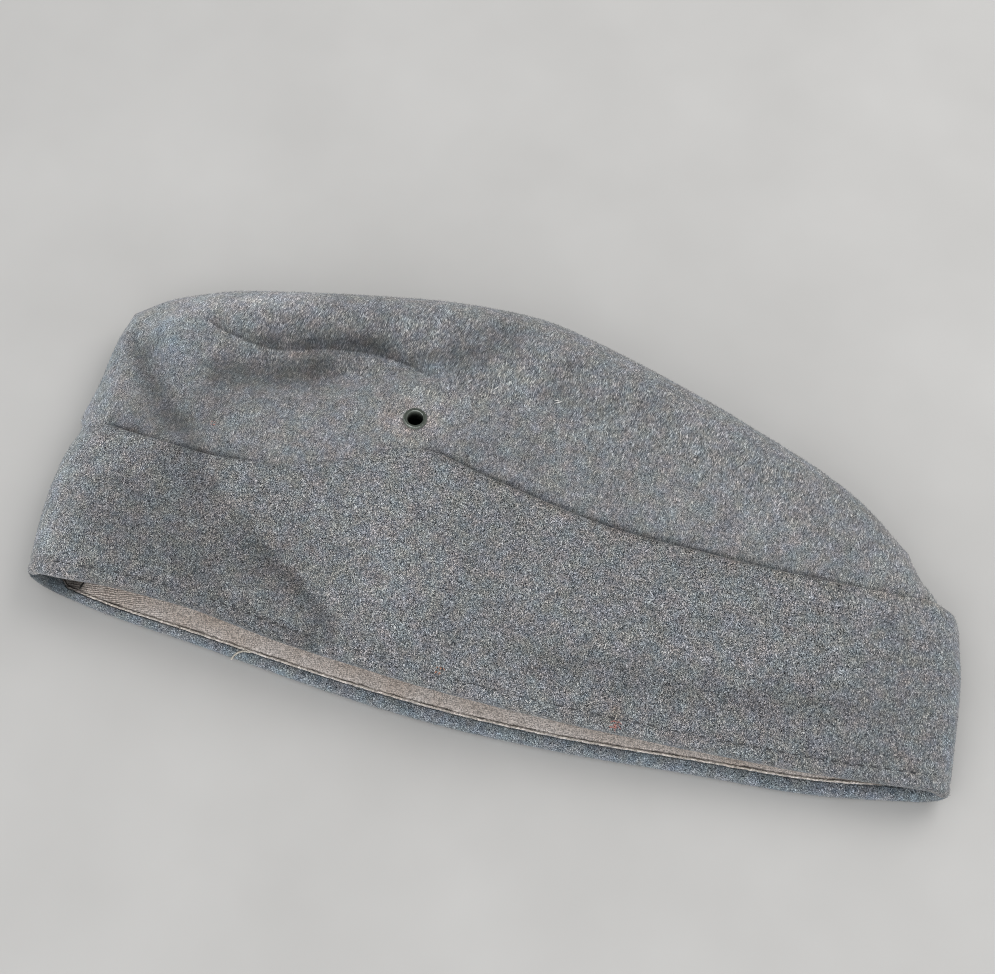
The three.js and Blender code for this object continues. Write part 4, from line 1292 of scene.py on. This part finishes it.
make_nap("crown_left_nap", 1, crown_face, crown_marks, crown_left_weight(),
         count=44000, length=(0.6, 1.7), lift=(3, 26), comb=0.5, seed=11)
make_nap("curtain_left_nap", -1, curtain_face, curtain_marks, curtain_left_weight(),
         count=44000, length=(0.5, 1.3), lift=(2, 30), comb=2.5, seed=12)
make_nap("crown_right_nap", -1, under_face, under_marks, crown_right_weight(),
         count=12000, length=(0.8, 2.0), lift=(4, 30), comb=0.6, seed=13)
make_nap("curtain_right_nap", 1, lower_face, lower_marks, curtain_right_weight(),
         count=14000, length=(0.5, 1.3), lift=(2, 28), comb=2.5, seed=14)

# Rows of stitches: where they begin and end along the hem, how far one is from the next, its size and slant,
# how unevenly it is laid, how far it sinks, and the share of them that shows
CURTAIN_STITCHES = {"first": 14.0, "last": 12.0, "pitch": 3.8, "length": 2.0, "radius": 0.22, "slant": 0.0,
                    "jitter": 0.15, "sunk": 0.1, "shown": 0.75}
LINING_STITCHES = {"first": 15.5, "last": 19.0, "pitch": 1.25, "length": 1.5, "radius": 0.16, "slant": 0.2,
                   "jitter": 0.25, "sunk": 0.08, "shown": 0.85}
STITCH_LENGTHS = (0.8, 1.1)
STITCH_OUT = 0.1  # how far the curtain's stitches stand out of their groove
LINING_ROW = 0.25  # how far the lining's stitches run above its edge


def stitch_row(name, net, height, offset, row, thread):
    """Stitches along the hem, a height above it and an offset out from the crown."""
    line = net.layer(np.array([0]), offset, -height)[:, 0]
    run = run_lengths(line, 0)
    at = np.arange(row["first"], run[-1] - row["last"], row["pitch"])
    rng = np.random.default_rng(len(at))
    at = (at + rng.normal(0, row["jitter"], len(at)))[rng.random(len(at)) < row["shown"]]
    each = (len(at), 1)

    def at_stitches(values):
        return np.stack([np.interp(at, run, column) for column in values.T], axis=-1)

    faces = unit(at_stitches(net.out[:, 0]))
    ways = unit(at_stitches(np.gradient(line, run, axis=0)))
    ways = unit(ways + (row["slant"] + row["jitter"] * rng.normal(0, 1, each)) * np.cross(ways, faces))
    places = at_stitches(line) + faces * rng.uniform(-row["sunk"], row["sunk"], each)
    axes = across(ways, faces, row["radius"], row["length"] * rng.uniform(*STITCH_LENGTHS, each))
    copies(name, STITCH, places, axes, thread)


for side, net, sunk in (("left", curtain_net, 0.0), ("right", lower_net, 0.15)):
    offset = GAP + WOOL - STITCH_GROOVE["depth"] + STITCH_OUT - sunk
    stitch_row(f"curtain_{side}_stitches", net, STITCH_ROW, offset, CURTAIN_STITCHES, GREY_THREAD)
for side, net in (("left", lining_net), ("right", lower_lining_net)):
    offset = -(WOOL + GAP + COTTON + LINING_STITCHES["radius"])
    height = lining_rise(net.stations) + LINING_ROW
    stitch_row(f"lining_{side}_stitches", net, height, offset, LINING_STITCHES, PALE_THREAD)

# A loose end of the lining's thread, from where it leaves the seam to its tip, and a dark bar across the lining
# near its front corner, which is painted shadow standing for a slit there
LOOSE_END = ((-68.5, -7.4, 4.4), (-70.4, -7.6, 4.6), (-72.0, -8.3, 4.2), (-73.2, -9.3, 3.2),
             (-73.8, -10.3, 2.4))
SLIT_SHADOW_LINE = np.array([(-123.6, 1.4, 5.3), (-124.3, -1.2, 5.3)])
THREAD = 0.3  # radius


def make_thread(name, line, overlap, material):
    """A thread of rounded bars from point to point of a line, each so many times as long as its step."""
    steps = np.diff(line, axis=0)
    axes = across(unit(steps), UP, THREAD, overlap * np.linalg.norm(steps, axis=-1))
    copies(name, STITCH, (line[1:] + line[:-1]) / 2, axes, material)


make_thread("loose_thread_end", curve(LOOSE_END, 13), 1.7, PALE_THREAD)
make_thread("lining_slit_shadow", SLIT_SHADOW_LINE, 1.0, SLIT_SHADOW_PAINT)

# Flecks of lint: colour, thickness, and for each a place in plan, its spread, how many strands and how long
FLECKS = {
    "orange": ((0.48, 0.24, 0.16), 0.1, ((-10.9, -5.0, 0.5, 9, 1.1),)),
    "red": ((0.56, 0.24, 0.20), 0.07, ((42.4, -7.2, 0.9, 14, 1.8), (-98.2, 55.0, 0.3, 6, 0.7))),
    "white": ((0.85, 0.84, 0.82), 0.12, (
        (16.2, -6.9, 0.1, 2, 1.6), (3.7, -7.0, 0.1, 1, 1.0), (100.9, 13.8, 0.1, 1, 0.8),
        (95, 4.8, 0.1, 2, 0.8), (121.3, 10.7, 0.1, 1, 0.8), (-44.9, -7.0, 0.3, 2, 1.3),
        (2.1, 85.5, 0.5, 3, 2.2), (-11.3, 44.7, 0.1, 1, 1.2), (-115.2, 34.4, 0.1, 1, 1.2),
        (-17.0, 85.5, 0.15, 2, 1.4))),
}
FLECK_LIFT = np.array([0, 0, 0.2])
FLECK_HEIGHT = 0.2  # how far a higher place is preferred to a nearer one


def make_flecks():
    rng = np.random.default_rng(21)
    shown = crown_face[:, crown_net.shares > EDGE]
    face = np.concatenate([shown.reshape(-1, 3), curtain_face.reshape(-1, 3)])
    for name, (colour, radius, tufts) in FLECKS.items():
        strands = np.repeat(np.array(tufts, float), [tuft[3] for tuft in tufts], axis=0)
        count = len(strands)
        spots = strands[:, :2] + rng.normal(0, 1, (count, 2)) * strands[:, 2:3]
        distances = [np.linalg.norm(face[:, :2] - spot, axis=-1) for spot in spots]
        nearest = [np.argmin(distance - face[:, 2] * FLECK_HEIGHT) for distance in distances]
        turns = rng.uniform(0, math.pi, count)
        ways = np.stack([np.cos(turns), np.sin(turns), rng.normal(0, 0.12, count)], axis=-1)
        axes = across(unit(ways), UP, radius, strands[:, 4] * rng.uniform(0.7, 1.2, count))
        lint = thread_material(f"lint_{name}", colour, 0.8)
        copies(f"lint_{name}", STITCH, face[nearest] + FLECK_LIFT, axes, lint)


make_flecks()


# Floor, light and camera


def make_floor():
    bm = bmesh.new()
    bmesh.ops.create_grid(bm, x_segments=2, y_segments=2, size=3.0)
    mesh = bpy.data.meshes.new("floor")
    bm.to_mesh(mesh)
    bm.free()
    mesh.materials.append(floor_material())
    floor = bpy.data.objects.new("floor", mesh)
    bpy.context.scene.collection.objects.link(floor)


SKY = {"Color": (0.97, 0.985, 1.0, 1.0), "Strength": 0.72}
# Round lamps that face the cap: width, power, colour and place
LAMPS = {
    "key": (0.9, 4.6, (1.0, 0.985, 0.965), (0.55, 0.62, 0.85)),
    "fill": (1.2, 3.6, (1.0, 1.0, 1.0), (-0.25, -0.95, 0.6)),
}


def make_lights():
    world = bpy.data.worlds.new("soft_studio")
    world.use_nodes = True
    feed(world.node_tree, world.node_tree.nodes["Background"], SKY)
    bpy.context.scene.world = world
    for name, (width, power, colour, place) in LAMPS.items():
        light = bpy.data.lights.new(name, "AREA")
        light.shape = "DISK"
        light.size, light.energy, light.color = width, power, colour
        lamp = bpy.data.objects.new(name, light)
        lamp.location = place
        lamp.rotation_euler = (-lamp.location).to_track_quat("-Z", "Y").to_euler()
        bpy.context.scene.collection.objects.link(lamp)


CAMERA = {"at": (61.03, -214.62, 594.30), "azimuth": 14.54, "elevation": 64.0, "lens": 77.06, "sensor": 36.0}


def make_camera():
    azimuth, elevation = math.radians(CAMERA["azimuth"]), math.radians(CAMERA["elevation"])
    level = math.cos(elevation)
    forward = Vector((-math.sin(azimuth) * level, math.cos(azimuth) * level, -math.sin(elevation)))
    data = bpy.data.cameras.new("camera")
    data.lens, data.sensor_width = CAMERA["lens"], CAMERA["sensor"]
    camera = bpy.data.objects.new("camera", data)
    camera.location = placed(np.array(CAMERA["at"]))
    camera.rotation_euler = forward.to_track_quat("-Z", "Y").to_euler()
    bpy.context.scene.collection.objects.link(camera)
    bpy.context.scene.camera = camera


make_floor()
make_lights()
make_camera()
bpy.context.scene.view_settings.view_transform = "Standard"
bpy.context.scene.cycles.denoising_prefilter = "NONE"  # the cloth's fine grain is no noise
bpy.context.scene.cycles.filter_width = 1.0
